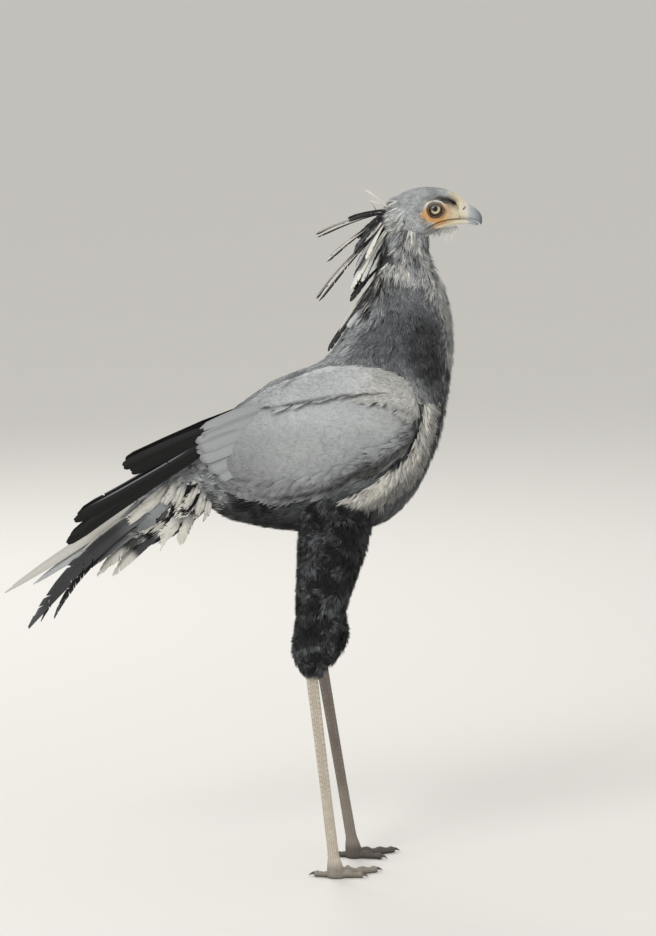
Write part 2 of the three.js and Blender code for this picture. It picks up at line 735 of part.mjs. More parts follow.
function toeBar(name, toeName, grow = 0) {
  const { length, root, tip, plates } = toes[toeName];
  const stops = [[0, 0], ...scuteStops(plates, ...toeShape.plates), [1, 0]];
  const radius = (share) => root + (tip - root) * Math.min(1, toeShape.taper * share);
  const lift = (share) => radius(share) * toeShape.sole + (share ? 0 : toeShape.rootLift);
  const { points, across } = toeLine(name, toeName, stops.map(([share]) => [share * length, lift(share)]));
  const radii = stops.map(([share, raised]) => [radius(share), radius(share), raised]);
  radii[radii.length - 1] = [tip * toeShape.end, tip * toeShape.end];
  return bar(points, radii, { across, grow });
}

function clawHorn(name, toeName) {
  const { length, horn } = toes[toeName];
  const reaches = [claw.root, -claw.root, horn * claw.bend, horn];
  const stops = reaches.map((reach, i) => [length + reach, claw.heights[i]]);
  const { points, across } = toeLine(name, toeName, stops);
  return bar(points, claw.radii, { around: 6, across });
}

function buildLeg(name) {
  const locks = thighLocks(name).map((lock) => cut(lock, [shank(name, seam)]));
  addNode('thigh_' + name, cut(fuse([thighForm(name), ...locks]), [bodyRoom]), paint.black);
  addNode('shank_' + name, cut(shank(name), [thighForm(name, seam)]), paint.leg);
  const toeNames = Object.keys(toes);
  const foot = fuse([heelBlock(name), ...toeNames.map((toeName) => toeBar(name, toeName))]);
  addNode('foot_' + name, cut(foot, [ground]), paint.leg);
  toeNames.forEach((toeName) => {
    const horn = cut(clawHorn(name, toeName), [toeBar(name, toeName, seam), ground]);
    addNode('claw_' + name + '_' + toeName, horn, paint.claw);
  });
}

buildTorso();
buildNeck();
buildHead();
buildBill();
Object.entries(sides).forEach(([name, side]) => buildWing(name, side));
buildTail();
Object.keys(sides).forEach(buildLeg);

export default bird;
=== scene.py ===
import bpy
import math
import numpy as np
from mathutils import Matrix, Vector


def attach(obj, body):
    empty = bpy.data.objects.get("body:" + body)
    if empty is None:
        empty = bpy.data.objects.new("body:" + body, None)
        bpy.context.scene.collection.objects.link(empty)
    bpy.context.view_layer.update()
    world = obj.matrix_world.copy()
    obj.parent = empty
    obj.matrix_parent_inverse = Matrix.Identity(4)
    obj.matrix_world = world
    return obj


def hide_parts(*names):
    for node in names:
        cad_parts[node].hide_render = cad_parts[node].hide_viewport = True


# A secretary bird in profile: bare face, bill and legs, and a coat of single feathers over one skin.
# The tables are in millimetres in the frame's own axes: +X ahead, +Y the bird's left, +Z up.
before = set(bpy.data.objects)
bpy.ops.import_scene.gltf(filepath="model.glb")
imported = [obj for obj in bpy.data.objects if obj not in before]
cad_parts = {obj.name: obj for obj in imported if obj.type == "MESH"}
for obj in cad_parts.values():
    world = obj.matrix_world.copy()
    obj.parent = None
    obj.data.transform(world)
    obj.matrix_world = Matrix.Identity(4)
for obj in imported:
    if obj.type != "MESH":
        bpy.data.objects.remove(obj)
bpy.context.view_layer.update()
mm = 0.001
sides = {"right": -1, "left": 1}
print("stage: frame loaded")


# from an sRGB hex code to the linear values that Blender's sockets take
def linear(hexCode):
    parts = np.array([int(hexCode[k:k + 2], 16) / 255 for k in (1, 3, 5)])
    return np.where(parts <= 0.04045, parts / 12.92, ((parts + 0.055) / 1.055) ** 2.4)


def smooth(value, start, end):
    t = np.clip((value - start) / (end - start), 0, 1)
    return t * t * (3 - 2 * t)


def unit(vectors):
    return vectors / np.maximum(np.linalg.norm(vectors, axis=-1, keepdims=True), 1e-9)


def mottle(points, size, seed):  # soft noise from 0 to 1 whose blots have that size in millimetres
    spot = points / (size * mm) + seed * 17.3
    cell = np.floor(spot).astype(np.int64)
    part = spot - cell
    part = part * part * (3 - 2 * part)
    total = 0
    for corner in np.ndindex(2, 2, 2):
        key = (cell + corner) @ np.array([73856093, 19349663, 83492791])
        key = ((key ^ (key >> 13)) * 1274126177) & 0x7FFFFFFF
        key = ((key ^ (key >> 15)) * 2246822519) & 0x7FFFFFFF
        total = total + (key % 9973) / 9973 * np.prod(np.where(corner, part, 1 - part), axis=-1)
    return total


def nearLine(x, z, line):  # distance to a broken line, and the share along it
    points = np.array(line, float)
    best, where = np.full(np.shape(x), 1e9), np.zeros(np.shape(x))
    for k in range(len(points) - 1):
        start, step = points[k], points[k + 1] - points[k]
        t = np.clip(((x - start[0]) * step[0] + (z - start[1]) * step[1]) / (step @ step), 0, 1)
        gap = np.hypot(x - start[0] - t * step[0], z - start[1] - t * step[1])
        where = np.where(gap < best, (k + t) / (len(points) - 1), where)
        best = np.minimum(best, gap)
    return best, where


def gapTo(x, z, line):
    return nearLine(x, z, line)[0]


def sideOf(x, z, line):  # above the line is positive, below it negative
    xs, zs = np.array(line, float).T
    return z - np.interp(x, xs, zs)


def sideView(points):  # x and z in millimetres
    return points[..., 0] / mm, points[..., 2] / mm


def toward(tone, share, other):
    return tone + share[..., None] * (other - tone)


def deselectAll():
    bpy.ops.object.select_all(action="DESELECT")


def makeActive(piece):
    deselectAll()
    piece.select_set(True)
    bpy.context.view_layer.objects.active = piece


def applied(piece, kind, **settings):
    makeActive(piece)
    modifier = piece.modifiers.new("shaping", kind)
    for key, value in settings.items():
        setattr(modifier, key, value)
    bpy.ops.object.modifier_apply(modifier="shaping")


def joined(name, pieces):
    makeActive(pieces[0])
    for other in pieces[1:]:
        other.select_set(True)
    bpy.ops.object.join()
    pieces[0].name = name
    return pieces[0]


def verticesOf(piece):
    flat = np.empty(len(piece.data.vertices) * 3)
    piece.data.vertices.foreach_get("co", flat)
    return flat.reshape(-1, 3)


def moveVertices(piece, points):
    piece.data.vertices.foreach_set("co", np.ascontiguousarray(points, float).ravel())
    piece.data.update()


def finishPiece(piece, material, slot, replaced=()):
    piece.data.materials.clear()
    piece.data.materials.append(material)
    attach(piece, "root")
    if replaced:
        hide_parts(*replaced)


# Forms that the skin and the coat follow, each as rows across it
bodyForm = {  # rows from the tail root to inside the head: back x, z, belly or throat x, z, half width
    "sections": [
        [-84, 655, -66, 592, 24],
        [-50, 688, -30, 560, 40],
        [8, 735, 30, 544, 59],
        [62, 766, 88, 537, 75],
        [103, 785, 158, 534, 87],
        [128, 800, 220, 553, 92],
        [142, 816, 266, 599, 92],
        [152, 832, 296, 665, 86],
        [162, 848, 311, 735, 76],
        [175, 868, 318, 800, 64],
        [190, 889, 318, 850, 53],
        [204, 910, 308, 905, 43],
        [211, 935, 292, 945, 35],
        [216, 962, 285, 968, 30],
        [221, 990, 286, 990, 28],
        [228, 1014, 290, 1008, 26],
    ],
    "power": 2.15,
    "end": 13,
}
headForm = {  # rows from the nape to the root of the bill
    "sections": [
        [223, 1032, 225, 1010, 13],
        [231, 1047, 233, 998, 22],
        [246, 1058.5, 248, 991, 27],
        [263, 1065, 266, 989, 29],
        [281, 1067.5, 284, 992, 29],
        [298, 1066.5, 300, 1001, 27.5],
        [314, 1063.5, 315, 1007, 23],
        [326, 1058.5, 325, 1010, 17.5],
        [334, 1053.5, 331, 1010.5, 13.5],
    ],
    "power": 2.1,
    "taper": 0.22,
}
tailForm = {
    "sections": [
        [-52, 682, -42, 582, 22],
        [-90, 652, -76, 555, 26],
        [-130, 612, -114, 528, 24],
        [-172, 570, -156, 512, 15],
        [-196, 545, -188, 510, 5],
    ],
    "power": 2.2,
}
thighForms = {  # front x, z, back x, z, half width, distance from the middle
    "right": {
        "sections": [
            [196, 604, 104, 604, 30, 46],
            [194, 562, 92, 562, 37, 55],
            [187, 520, 88, 520, 37, 61],
            [177, 480, 87, 480, 33, 64],
            [161, 436, 85, 436, 28, 66],
            [147, 395, 83, 395, 24, 67],
            [140, 361, 79, 361, 21, 68],
            [132, 338, 84, 338, 17, 68],
            [122, 320, 97, 320, 11, 68],
        ],
        "power": 2,
        "side": -1,
    },
    "left": {
        "sections": [
            [204, 604, 112, 604, 30, 46],
            [202, 562, 102, 562, 37, 55],
            [195, 520, 99, 520, 37, 61],
            [186, 480, 99, 480, 33, 64],
            [168, 436, 99, 436, 28, 66],
            [158, 395, 99, 395, 24, 67],
            [162, 358, 99, 358, 21.5, 68],
            [155, 334, 106, 334, 17, 68],
            [140, 315, 117, 315, 11, 68],
        ],
        "power": 2,
        "side": 1,
    },
}
wingForm = {  # rows from the bend of the wing backwards: upper x, z, lower x, z, height over the body
    "sections": [
        [266, 752, 269, 728, 4],
        [259, 771, 263, 697, 9],
        [240, 785, 246, 670, 12],
        [205, 795, 211, 643, 14],
        [160, 798, 165, 620, 15],
        [112, 791, 118, 607, 15],
        [68, 778, 72, 600, 14],
        [30, 759, 30, 600, 13],
        [-5, 736, -6, 614, 12],
        [-33, 716, -33, 638, 10],
        [-56, 701, -56, 668, 8],
        [-76, 690, -76, 676, 7],
    ],
    "edge": 3.5,
    "end": 10.4,
}
grain = {"skin": 0.0032, "leg": 0.00095}  # voxel sizes in metres
coatDepth = {"body": 5.5, "neck": 4.5, "head": 1.4, "thigh": 5.5, "wing": 2.5, "tail": 2.5}


def sectionAt(sections, row):
    table = np.array(sections, float)
    last = len(table) - 1
    inside = np.clip(row, 0, last)
    i = np.minimum(inside.astype(int), last - 1)
    t = (inside - i)[..., None]
    a, b, c, d = (table[np.clip(i + k, 0, last)] for k in (-1, 0, 1, 2))
    slope, ahead = (c - a) / 2, (d - b) / 2
    value = b + t * (slope + t * (3 * (c - b) - 2 * slope - ahead + t * (2 * (b - c) + slope + ahead)))
    beyond = (row - inside)[..., None]
    return value + beyond * np.where(beyond < 0, table[1] - table[0], table[-1] - table[-2])


def onForm(form, row, angle, height=0.0):  # a point on a form, or that many millimetres over it
    row, angle = np.broadcast_arrays(np.asarray(row, float), np.asarray(angle, float))
    columns = sectionAt(form["sections"], row)
    topX, topZ, lowX, lowZ, half = (columns[..., k] for k in range(5))
    middle = columns[..., 5] * form["side"] if "side" in form else 0
    power = 2 / form["power"]
    along = np.sign(np.cos(angle)) * np.abs(np.cos(angle)) ** power
    across = np.sign(np.sin(angle)) * np.abs(np.sin(angle)) ** power
    reach = along * (0.5 + height / np.hypot(topX - lowX, topZ - lowZ))
    width = (half + height) * (1 - form.get("taper", 0) * along)
    x = (topX + lowX) / 2 + reach * (topX - lowX)
    z = (topZ + lowZ) / 2 + reach * (topZ - lowZ)
    return mm * np.stack([x, middle + across * width, z], -1)


def surfaceOf(place, rows, angles, counts, wraps=False):
    # a grid of points and outward normals, to look up places on it quickly
    u, v = np.meshgrid(np.linspace(*rows, counts[0]), np.linspace(*angles, counts[1]), indexing="ij")
    points = place(u, v)
    byU = np.gradient(points, axis=0)
    byV = np.gradient(points, axis=1)
    if wraps:
        byV[:, 0] = byV[:, -1] = points[:, 1] - points[:, -2]
    normals = unit(np.cross(byU, byV))
    centre = points.mean(axis=1, keepdims=True) if wraps else points.mean(axis=(0, 1)) * [1, 0, 1]
    if np.mean(np.sum(normals * (points - centre), -1)) < 0:
        normals = -normals
    return {"points": points, "normals": normals, "rows": rows, "angles": angles, "wraps": wraps}


def lookUp(surface, u, v, height=0.0):
    countU, countV = surface["points"].shape[:2]
    (u0, u1), (v0, v1) = surface["rows"], surface["angles"]
    if surface["wraps"]:
        v = (v - v0) % (v1 - v0) + v0
    atU = (u - u0) / (u1 - u0) * (countU - 1)
    atV = (v - v0) / (v1 - v0) * (countV - 1)
    i = np.clip(np.floor(atU).astype(int), 0, countU - 2)
    j = np.clip(np.floor(atV).astype(int), 0, countV - 2)
    s, t = (atU - i)[..., None], (atV - j)[..., None]

    def mixed(grid):
        near = grid[i, j] * (1 - t) + grid[i, j + 1] * t
        far = grid[i + 1, j] * (1 - t) + grid[i + 1, j + 1] * t
        return near * (1 - s) + far * s

    return mixed(surface["points"]) + mm * np.asarray(height)[..., None] * unit(mixed(surface["normals"]))


def slopesAt(surface, u, v):
    stepU = (surface["rows"][1] - surface["rows"][0]) / surface["points"].shape[0]
    stepV = (surface["angles"][1] - surface["angles"][0]) / surface["points"].shape[1]
    byU = (lookUp(surface, u + stepU, v) - lookUp(surface, u - stepU, v)) / (2 * stepU)
    byV = (lookUp(surface, u, v + stepV) - lookUp(surface, u, v - stepV)) / (2 * stepV)
    normal = (lookUp(surface, u, v, np.ones(np.shape(u))) - lookUp(surface, u, v)) / mm
    return byU, byV, unit(normal)


def edgesAt(form, row):  # upper x, z and lower x, z of the form at a row
    columns = sectionAt(form["sections"], row)
    return tuple(columns[..., k] for k in range(4))


def rowAt(form, x, z, last):  # the row whose line from upper to lower edge passes through x, z
    low, high = np.zeros(np.shape(x)), np.full(np.shape(x), float(last))
    for _ in range(22):
        middle = (low + high) / 2
        topX, topZ, lowX, lowZ = edgesAt(form, middle)
        ahead = (lowX - topX) * (z - topZ) - (lowZ - topZ) * (x - topX)
        low, high = np.where(ahead > 0, middle, low), np.where(ahead > 0, high, middle)
    return low


def placeOnBody(x, z, side):  # the row and angle of what a side view shows at x, z
    row = rowAt(bodyForm, x, z, bodyForm["end"])
    topX, topZ, lowX, lowZ = edgesAt(bodyForm, row)
    deepX, deepZ = lowX - topX, lowZ - topZ
    share = ((x - topX) * deepX + (z - topZ) * deepZ) / (deepX ** 2 + deepZ ** 2)
    along = np.clip(1 - 2 * share, -0.93, 0.93)
    return row, side * np.arccos(np.sign(along) * np.abs(along) ** (bodyForm["power"] / 2))


# Folds of the folded wing, as lines of x, z in a side view. The plumage above each line rises in a soft
# step over what lies below it, between the two ends where the step fades out.
wingEdge = [
    (-60, 650), (-20, 612), (20, 592), (63, 594), (130, 609), (176, 636), (214, 648), (257, 684), (268, 712),
    (273, 750),
]
wingFolds = {
    "scapular": {"line": [(285, 748), (206, 765), (139, 756), (85, 745), (40, 735), (-12, 724)],
                 "rise": 8.0, "fade": (5, 60, 195, 235)},
    "shoulder": {"line": [(275, 712), (261, 725), (249, 733), (226, 744), (185, 748), (150, 752)],
                 "rise": 6.0, "fade": (165, 205, 270, 285)},
    "lower": {"line": [(262, 690), (214, 660), (170, 640), (120, 622), (60, 612), (0, 622)],
              "rise": 2.5, "fade": (-30, 30, 240, 262)},
}


def foldShare(x, fold):
    start, full, fading, end = fold["fade"]
    return smooth(x, start, full) * (1 - smooth(x, fading, end))


def wingRelief(x, z, overhang=None):
    total = 0
    for name, fold in wingFolds.items():
        over = sideOf(x, z, fold["line"][::-1])
        if name == overhang:
            over = np.maximum(over, 3.5)
        step = fold["rise"] * (smooth(over, -0.5, 3.5) * (1 - 0.75 * smooth(over, 3.5, 42)))
        total = total + foldShare(x, fold) * (step - 0.3 * fold["rise"] * np.exp(-((over + 3) / 3) ** 2))
    return total


def placeOnWing(row, share):  # x and z in a side view, from the upper edge at 0 to the lower at 1
    topX, topZ, lowX, lowZ = edgesAt(wingForm, row)
    return topX + share * (lowX - topX), topZ + share * (lowZ - topZ)


def overWing(side, row, share, height=0.0, overhang=None):
    x, z = placeOnWing(row, share)
    edge = wingForm["edge"]
    thick = np.maximum(sectionAt(wingForm["sections"], row)[..., 4], edge)
    dome = (1 - np.minimum(np.abs(2 * share - 1), 1) ** 4) ** 0.8
    over = edge + (thick - edge) * dome + height + wingRelief(x, z, overhang) * dome ** 0.5
    return lookUp(bodySurface, *placeOnBody(x, z, side), over)


def bodyDepth(row):
    return coatDepth["body"] + (coatDepth["neck"] - coatDepth["body"]) * smooth(row, 6, 10)


fullTurn = (-math.pi, math.pi)
bodySurface = surfaceOf(lambda u, v: onForm(bodyForm, u, v), (-0.5, 15.0), fullTurn, (230, 121), True)
headSurface = surfaceOf(lambda u, v: onForm(headForm, u, v), (0.0, 8.0), fullTurn, (120, 97), True)
tailSurface = surfaceOf(lambda u, v: onForm(tailForm, u, v), (0.0, 4.0), fullTurn, (60, 61), True)
thighSurfaces = {
    name: surfaceOf(lambda u, v, form=form: onForm(form, u, v), (0.0, 8.0), fullTurn, (90, 73), True)
    for name, form in thighForms.items()
}
wingSurfaces = {  # the wing as it is, and with one fold's plumage going on straight past its lower edge
    (name, fold): surfaceOf(lambda u, v, side=side, fold=fold: overWing(side, u, v, 0.0, fold),
                            (-0.4, 10.9), (-0.12, 1.28), (170, 130))
    for name, side in sides.items() for fold in (None, "scapular", "shoulder")
}
print("stage: forms laid out")


# Markings, shared by skin and coat, and one patch of painted shade under the chin. Each is a soft patch in
# the side view: its middle, its two half sizes, its turn in degrees, how soft its edge is, and its tone.
tones = {
    "white": linear("#e6e3da"),
    "pale": linear("#c6c9ca"),
    "light": linear("#a9acae"),
    "grey": linear("#85888a"),
    "slate": linear("#5c5e61"),
    "dark": linear("#363638"),
    "black": linear("#1b1a1c"),
}
bodyMarkingsAndShade = [
    ((60, 558), (240, 62), 0, 0.3, "black"),
    ((-62, 612), (62, 34), -25, 0.4, "grey"),
    ((268, 655), (50, 96), -12, 0.5, "slate"),
    ((300, 738), (17, 74), 3, 0.5, "slate"),
    ((262, 776), (24, 32), 10, 0.6, "light"),
    ((240, 862), (58, 62), 25, 0.6, "slate"),
    ((284, 832), (27, 58), 8, 0.5, "dark"),
    ((168, 846), (13, 70), -40, 0.5, "light"),
    ((258, 952), (40, 12), 0, 0.5, "pale"),
    ((305, 912), (8, 46), 14, 0.5, "pale"),
    ((320, 848), (6, 40), 6, 0.5, "pale"),
    ((256, 986), (24, 24), 0, 0.5, "light"),
    # the next patch, slate under the chin, is painted shade
    ((288, 972), (9, 26), 0, 0.5, "slate"),
    ((227, 966), (12, 34), 15, 0.5, "dark"),
    ((150, 590), (70, 18), 20, 0.7, "slate"),
]


def patchShare(points, patch):
    (x, z), (a, b), turn, edge, _ = patch
    c, s = math.cos(math.radians(turn)), math.sin(math.radians(turn))
    dx, dz = points[..., 0] / mm - x, points[..., 2] / mm - z
    reach = np.hypot((c * dx + s * dz) / a, (-s * dx + c * dz) / b)
    return 1 - smooth(reach, 1 - edge, 1 + edge)


def bodyTone(points):
    x, z = sideView(points)
    blot = mottle(points, 14, 3)
    flecks = mottle(points, 6, 91)
    tone = tones["grey"] * (0.8 + 0.4 * blot)[..., None]
    for patch in bodyMarkingsAndShade:
        share = patchShare(points, patch) * np.clip(0.55 + 0.9 * blot, 0, 1)
        tone = toward(tone, share, tones[patch[4]])
    # painted shadow: the body's plumage is painted near black along the wing's lower edge
    wingEdgeShadow = (1 - smooth(gapTo(x, z, wingEdge), 4, 9)) * smooth(x, 60, 110)
    tone = toward(tone, 0.85 * wingEdgeShadow, tones["black"])
    rump = (1 - smooth(x, -20, 20)) * smooth(z, 550, 580) * (1 - smooth(z, 650, 690))
    tone = toward(tone, 0.7 * rump * smooth(flecks, 0.5, 0.7), tones["pale"])
    tone = toward(tone, 0.7 * rump * (1 - smooth(flecks, 0.3, 0.45)), tones["black"])
    # painted shadow below the pale flank roll, broken up by the flecks
    below = smooth(-sideOf(x, z, flankLine[::-1]), 0, 8) * smooth(flecks, 0.25, 0.6)
    flankRollShadow = np.exp(-((gapTo(x, z, flankLine) - 20) / 8) ** 2) * below * smooth(x, 150, 190)
    return toward(tone, 0.65 * flankRollShadow, tones["black"])


faceMarkings = {"bare": (309, 1028), "bareSize": (33, 16), "browShadow": (317, 1046)}
faceTones = {
    "cheek": linear("#cd9a60"),
    "cere": linear("#d9cdb0"),
    "eyeRingAndShade": linear("#54463b"),
    "lidFold": linear("#e2d8c6"),
    "lashLineAndShade": linear("#352e2b"),
    "browShadow": linear("#3a322e"),
    # painted shade in the mouth's slit
    "gape": linear("#3a2a22"),
    "cheekCreaseShade": linear("#5b4a3c"),
}


def bareShare(points):  # 1 on the bare skin of the face and 0 where feathers grow
    x, z = sideView(points)
    (bareX, bareZ), (a, b) = faceMarkings["bare"], faceMarkings["bareSize"]
    reach = np.hypot((x - bareX) / a, (z - bareZ) / b) + 0.16 * (mottle(points, 5, 19) - 0.5)
    muzzle = smooth(x + 0.12 * (z - 1035), 315, 331)
    jaw = smooth(x, 292, 300) * (1 - smooth(z, 1016, 1022)) * smooth(z, 1004, 1007)
    return np.clip(1 - smooth(reach, 0.9, 1.08) + muzzle + jaw, 0, 1)


def headTone(points):
    x, z = sideView(points)
    feathered = toward(tones["grey"], np.clip(0.3 + 0.75 * mottle(points, 7, 5), 0, 1), tones["pale"])
    feathered = toward(feathered, 0.5 * smooth(z, 1050, 1064), tones["pale"])
    nape = (1 - smooth(x, 226, 250)) * (1 - smooth(z, 1038, 1052))
    feathered = toward(feathered, 0.3 * nape, tones["slate"])
    bare = toward(faceTones["cheek"], smooth(x, 302, 332), faceTones["cere"])
    bare = bare * (0.86 + 0.24 * mottle(points, 3, 8))[..., None]
    tone = toward(feathered, bareShare(points), bare)
    # the lids' dark ring, which is dark lid skin with painted shade in it, the bright fold over the eye, and
    # painted shade in the groove round it
    reach, turn = eyeReach(x, z)
    under = smooth(-np.sin(turn - 0.5), -0.3, 0.6)
    front = smooth(np.cos(turn), 0.3, 0.95)
    # dark lid skin and painted shade round the eye, wider below and in front
    lidRingAndShade = 1 - smooth(reach, 10.8 + 1.6 * under, 13.4 + 2.4 * under + 2.6 * front)
    patchy = 0.72 + 0.4 * mottle(points, 2.2, 15) * (0.5 + 0.5 * under)
    tone = toward(tone, np.clip(lidRingAndShade * patchy, 0, 1), faceTones["eyeRingAndShade"])
    # painted shade in the groove round the eye, left off below it
    grooveShade = np.exp(-((reach - 20.5) / 3.2) ** 2) * smooth(np.sin(turn - 0.15), -0.5, 0.2)
    tone = toward(tone, 0.35 * grooveShade, tones["slate"])
    fold = np.exp(-((reach - headRelief["upperArc"] - 0.8) / 2.3) ** 2) * smooth(np.sin(turn), 0.0, 0.6)
    tone = toward(tone, 0.7 * fold, faceTones["lidFold"])
    # the brow, with a dark line of lashes and painted shade in the groove under it, and the shadow that it
    # throws towards the bill
    gap, where = nearLine(x, z, [(a, b - 1.2) for a, b in headRelief["brow"]])
    lashLineAndShade = np.exp(-(gap / (2.4 + 3.0 * smooth(where, 0.2, 0.7))) ** 2)
    lashLineAndShade = lashLineAndShade * (0.3 + 0.7 * smooth(where, 0.25, 0.7))
    lashLineAndShade = lashLineAndShade * (1 - smooth(where, 0.86, 1.0)) * smooth(where, 0.0, 0.2)
    tone = toward(tone, 0.85 * lashLineAndShade, faceTones["lashLineAndShade"])
    ahead, over = x - faceMarkings["browShadow"][0], z - faceMarkings["browShadow"][1]
    shadow = np.exp(-((ahead + 0.9 * over) / 9) ** 2 - ((over + 0.5 * ahead) / 5.5) ** 2)
    tone = toward(tone, 0.75 * shadow, faceTones["browShadow"])
    # painted shade in the slit at the mouth's corner and in the crease of the cheek
    # painted shade along the mouth's slit
    gape = np.exp(-gapTo(x, z, headRelief["gape"]) ** 2)
    tone = toward(tone, 0.85 * gape, faceTones["gape"])
    # painted shade in the crease of the cheek
    cheekCreaseShade = np.exp(-(gapTo(x, z, headRelief["cheek"]) / 2.6) ** 2)
    return toward(tone, 0.35 * cheekCreaseShade, faceTones["cheekCreaseShade"])


def thighTone(points):
    blot = 0.6 * mottle(points, 11, 11) + 0.4 * mottle(points, 5, 12)
    # painted shade: the thigh's front gets fewer light blots, so that it reads darker
    front = smooth(points[..., 0], 0.13, 0.19)
    light = smooth(blot, 0.42, 0.75) * (1 - 0.6 * front)
    return toward(tones["black"], 0.9 * light, tones["slate"])


flankLine = [(281, 748), (280, 722), (276, 690), (264, 660), (240, 632), (210, 610), (180, 592), (152, 574)]
wingStroke = [(66, 765), (80, 778), (93, 788)]
wingLow = [(-60, 640), (-20, 625), (60, 605), (130, 615), (176, 645), (230, 668), (270, 712)]
foldShadeLines = {"scapular": (0.95, 2.8), "shoulder": (0.95, 3.6), "lower": (0.35, 2.8)}  # darkness, breadth
tailBorder = [(-200, 560), (-120, 600), (-50, 645)]


def slantedMottle(points, along, across, size, seed):  # blots drawn out along a slant of the side view
    x, z = points[..., 0], points[..., 2]
    spots = np.stack([along[0] * x + along[1] * z, 0 * x, across[0] * x + across[1] * z], -1)
    return mottle(spots, size, seed)


def wingTone(points):
    x, z = sideView(points)
    tone = toward(tones["light"], 0.55 + 0.5 * mottle(points, 22, 21), tones["pale"])
    tone = toward(tone, 0.6 * (1 - smooth(sideOf(x, z, wingLow), -4, 60)), tones["grey"])
    # painted shade under each fold's step, where the feathers' dark bases also show
    for name, (dark, breadth) in foldShadeLines.items():
        fold = wingFolds[name]
        line = np.exp(-((sideOf(x, z, fold["line"][::-1]) + 1.8) / breadth) ** 2) * foldShare(x, fold)
        tone = toward(tone, dark * line * smooth(mottle(points, 9, 33), 0.0, 0.4), tones["dark"])
    # painted shadow in the ragged gap along the lower edge
    inside = sideOf(x, z, wingEdge)
    ragged = smooth(slantedMottle(points, (0.45, 0.3), (-0.35, 1), 5, 71), 0.35, 0.7)
    gap = 0.85 * ragged * (1 - smooth(inside, 10, 28)) * smooth(x, 90, 190)
    gap = gap + np.exp(-(gapTo(x, z, wingEdge) / 5.5) ** 2)
    tone = toward(tone, 0.9 * smooth(x, 20, 70) * np.clip(gap, 0, 1), tones["dark"] * 0.7)
    streaks = slantedMottle(points, (0.3, 0.3), (-1, 1), 4, 72) - 0.5
    tone = tone * (1 + 0.28 * streaks * (1 - smooth(inside, 45, 80)))[..., None]
    tone = toward(tone, 0.8 * np.exp(-(gapTo(x, z, wingStroke) / 2.2) ** 2), tones["dark"])
    # the pale shoulder, the greyer rear, and painted light and shade: the top and the front lighter, the rear
    # and lower parts darker
    front = smooth(sideOf(x, z, wingFolds["shoulder"]["line"][::-1]), -1, 5) * smooth(x, 165, 205)
    tone = toward(tone, 0.45 * front, tones["white"])
    tone = toward(tone, 0.3 * (1 - smooth(x, -40, 40)), tones["grey"])
    # painted light and shade: lighter along the top and the front, darker below and at the rear
    shade = 0.67 + 0.17 * np.maximum(smooth(z, 675, 735), smooth(x, 185, 225))
    return tone * (shade * (0.87 + 0.13 * smooth(x, 10, 90)))[..., None]


def tailTone(points):
    x, z = sideView(points)
    wave = x + 0.35 * z + 9 * (mottle(points, 20, 3) - 0.5)
    bars = smooth(np.sin(wave / 15.0 * 2 * math.pi), -0.35, 0.5)
    low = smooth(-sideOf(x, z, tailBorder), 0, 10) * smooth(x, -150, -120)
    plain = tones["grey"] * (0.8 + 0.35 * mottle(points, 12, 2))[..., None]
    barred = tones["white"] * 0.95 + (1 - bars)[..., None] * (tones["dark"] - tones["white"])
    barred = toward(barred, 1 - smooth(x, -165, -128), tones["white"] * 0.9)
    return toward(plain, low, barred)


def skinTone(points):
    x, z = sideView(points)
    table = np.array(wingForm["sections"], float)[::-1]
    over = smooth(z - np.interp(x, table[:, 2], table[:, 3]), -3, 3)
    under = smooth(np.interp(x, table[:, 0], table[:, 1]) - z, -3, 3)
    inWing = over * under * smooth(x, -80, -60) * smooth(np.abs(points[..., 1]), 0.035, 0.05)
    # the wing's bed takes the wing's tones painted darker, as shade under the coverts
    tone = toward(bodyTone(points), inWing, wingTone(points) * 0.8)
    tone = toward(tone, (1 - smooth(z, 535, 560)) * smooth(x, 60, 75), thighTone(points))
    return toward(tone, 1 - smooth(x, -95, -75), tailTone(points))


# Feather outlines: places across in half widths and along in lengths, with their faces, and for each
# place the strand that it belongs to
def asArrays(**lists):
    return {key: np.array(values) for key, values in lists.items()}


def vaneShape(columns, stations, widths, tipDrop, lean):  # a closed vane with a fringed end
    across = columns + 1
    points, quads, tris = [], [], []
    for t, wide in zip(stations, widths):
        for k in range(across):
            x = 2 * k / columns - 1
            points.append((x * wide, t - lean * abs(x)))
    for row in range(len(stations) - 1):
        for k in range(columns):
            a, b = row * across + k, (row + 1) * across + k
            quads.append((a, a + 1, b + 1, b))
    owner = [k % across for k in range(len(points))] + list(range(columns))
    last = len(points) - across
    for k in range(columns):
        x = (2 * k + 1) / columns - 1
        tris.append((last + k, last + k + 1, len(points)))
        points.append((x * widths[-1] * 0.94, 1 - tipDrop * x * x))
    return asArrays(points=points, quads=quads, tris=tris, owner=owner)


def strandShape(strands, breadth, fan):  # separate strands side by side, each a narrow tapering ribbon
    points, quads, tris, owner = [], [], [], []
    for k in range(strands):
        place = (2 * k / (strands - 1) - 1) * (1 - breadth)
        start = len(points)
        for t, wide in ((0, 0.9), (0.45, 1), (0.8, 0.6)):
            x = place * (0.7 + fan * t)
            points += [(x - breadth * wide, t), (x + breadth * wide, t)]
        points.append((place * (0.7 + fan), 1))
        owner += [k] * 7
        quads += [(start, start + 1, start + 3, start + 2), (start + 2, start + 3, start + 5, start + 4)]
        tris.append((start + 4, start + 5, start + 6))
    return asArrays(points=points, quads=quads, tris=tris, owner=owner)


shapes = {
    "broad": vaneShape(6, (0, 0.25, 0.5, 0.8), (0.5, 0.9, 1, 0.88), 0.2, 0.08),
    "down": strandShape(6, 0.24, 0.45),
    "hackle": strandShape(5, 0.3, 0.25),
    "plush": strandShape(4, 0.34, 0.2),
}


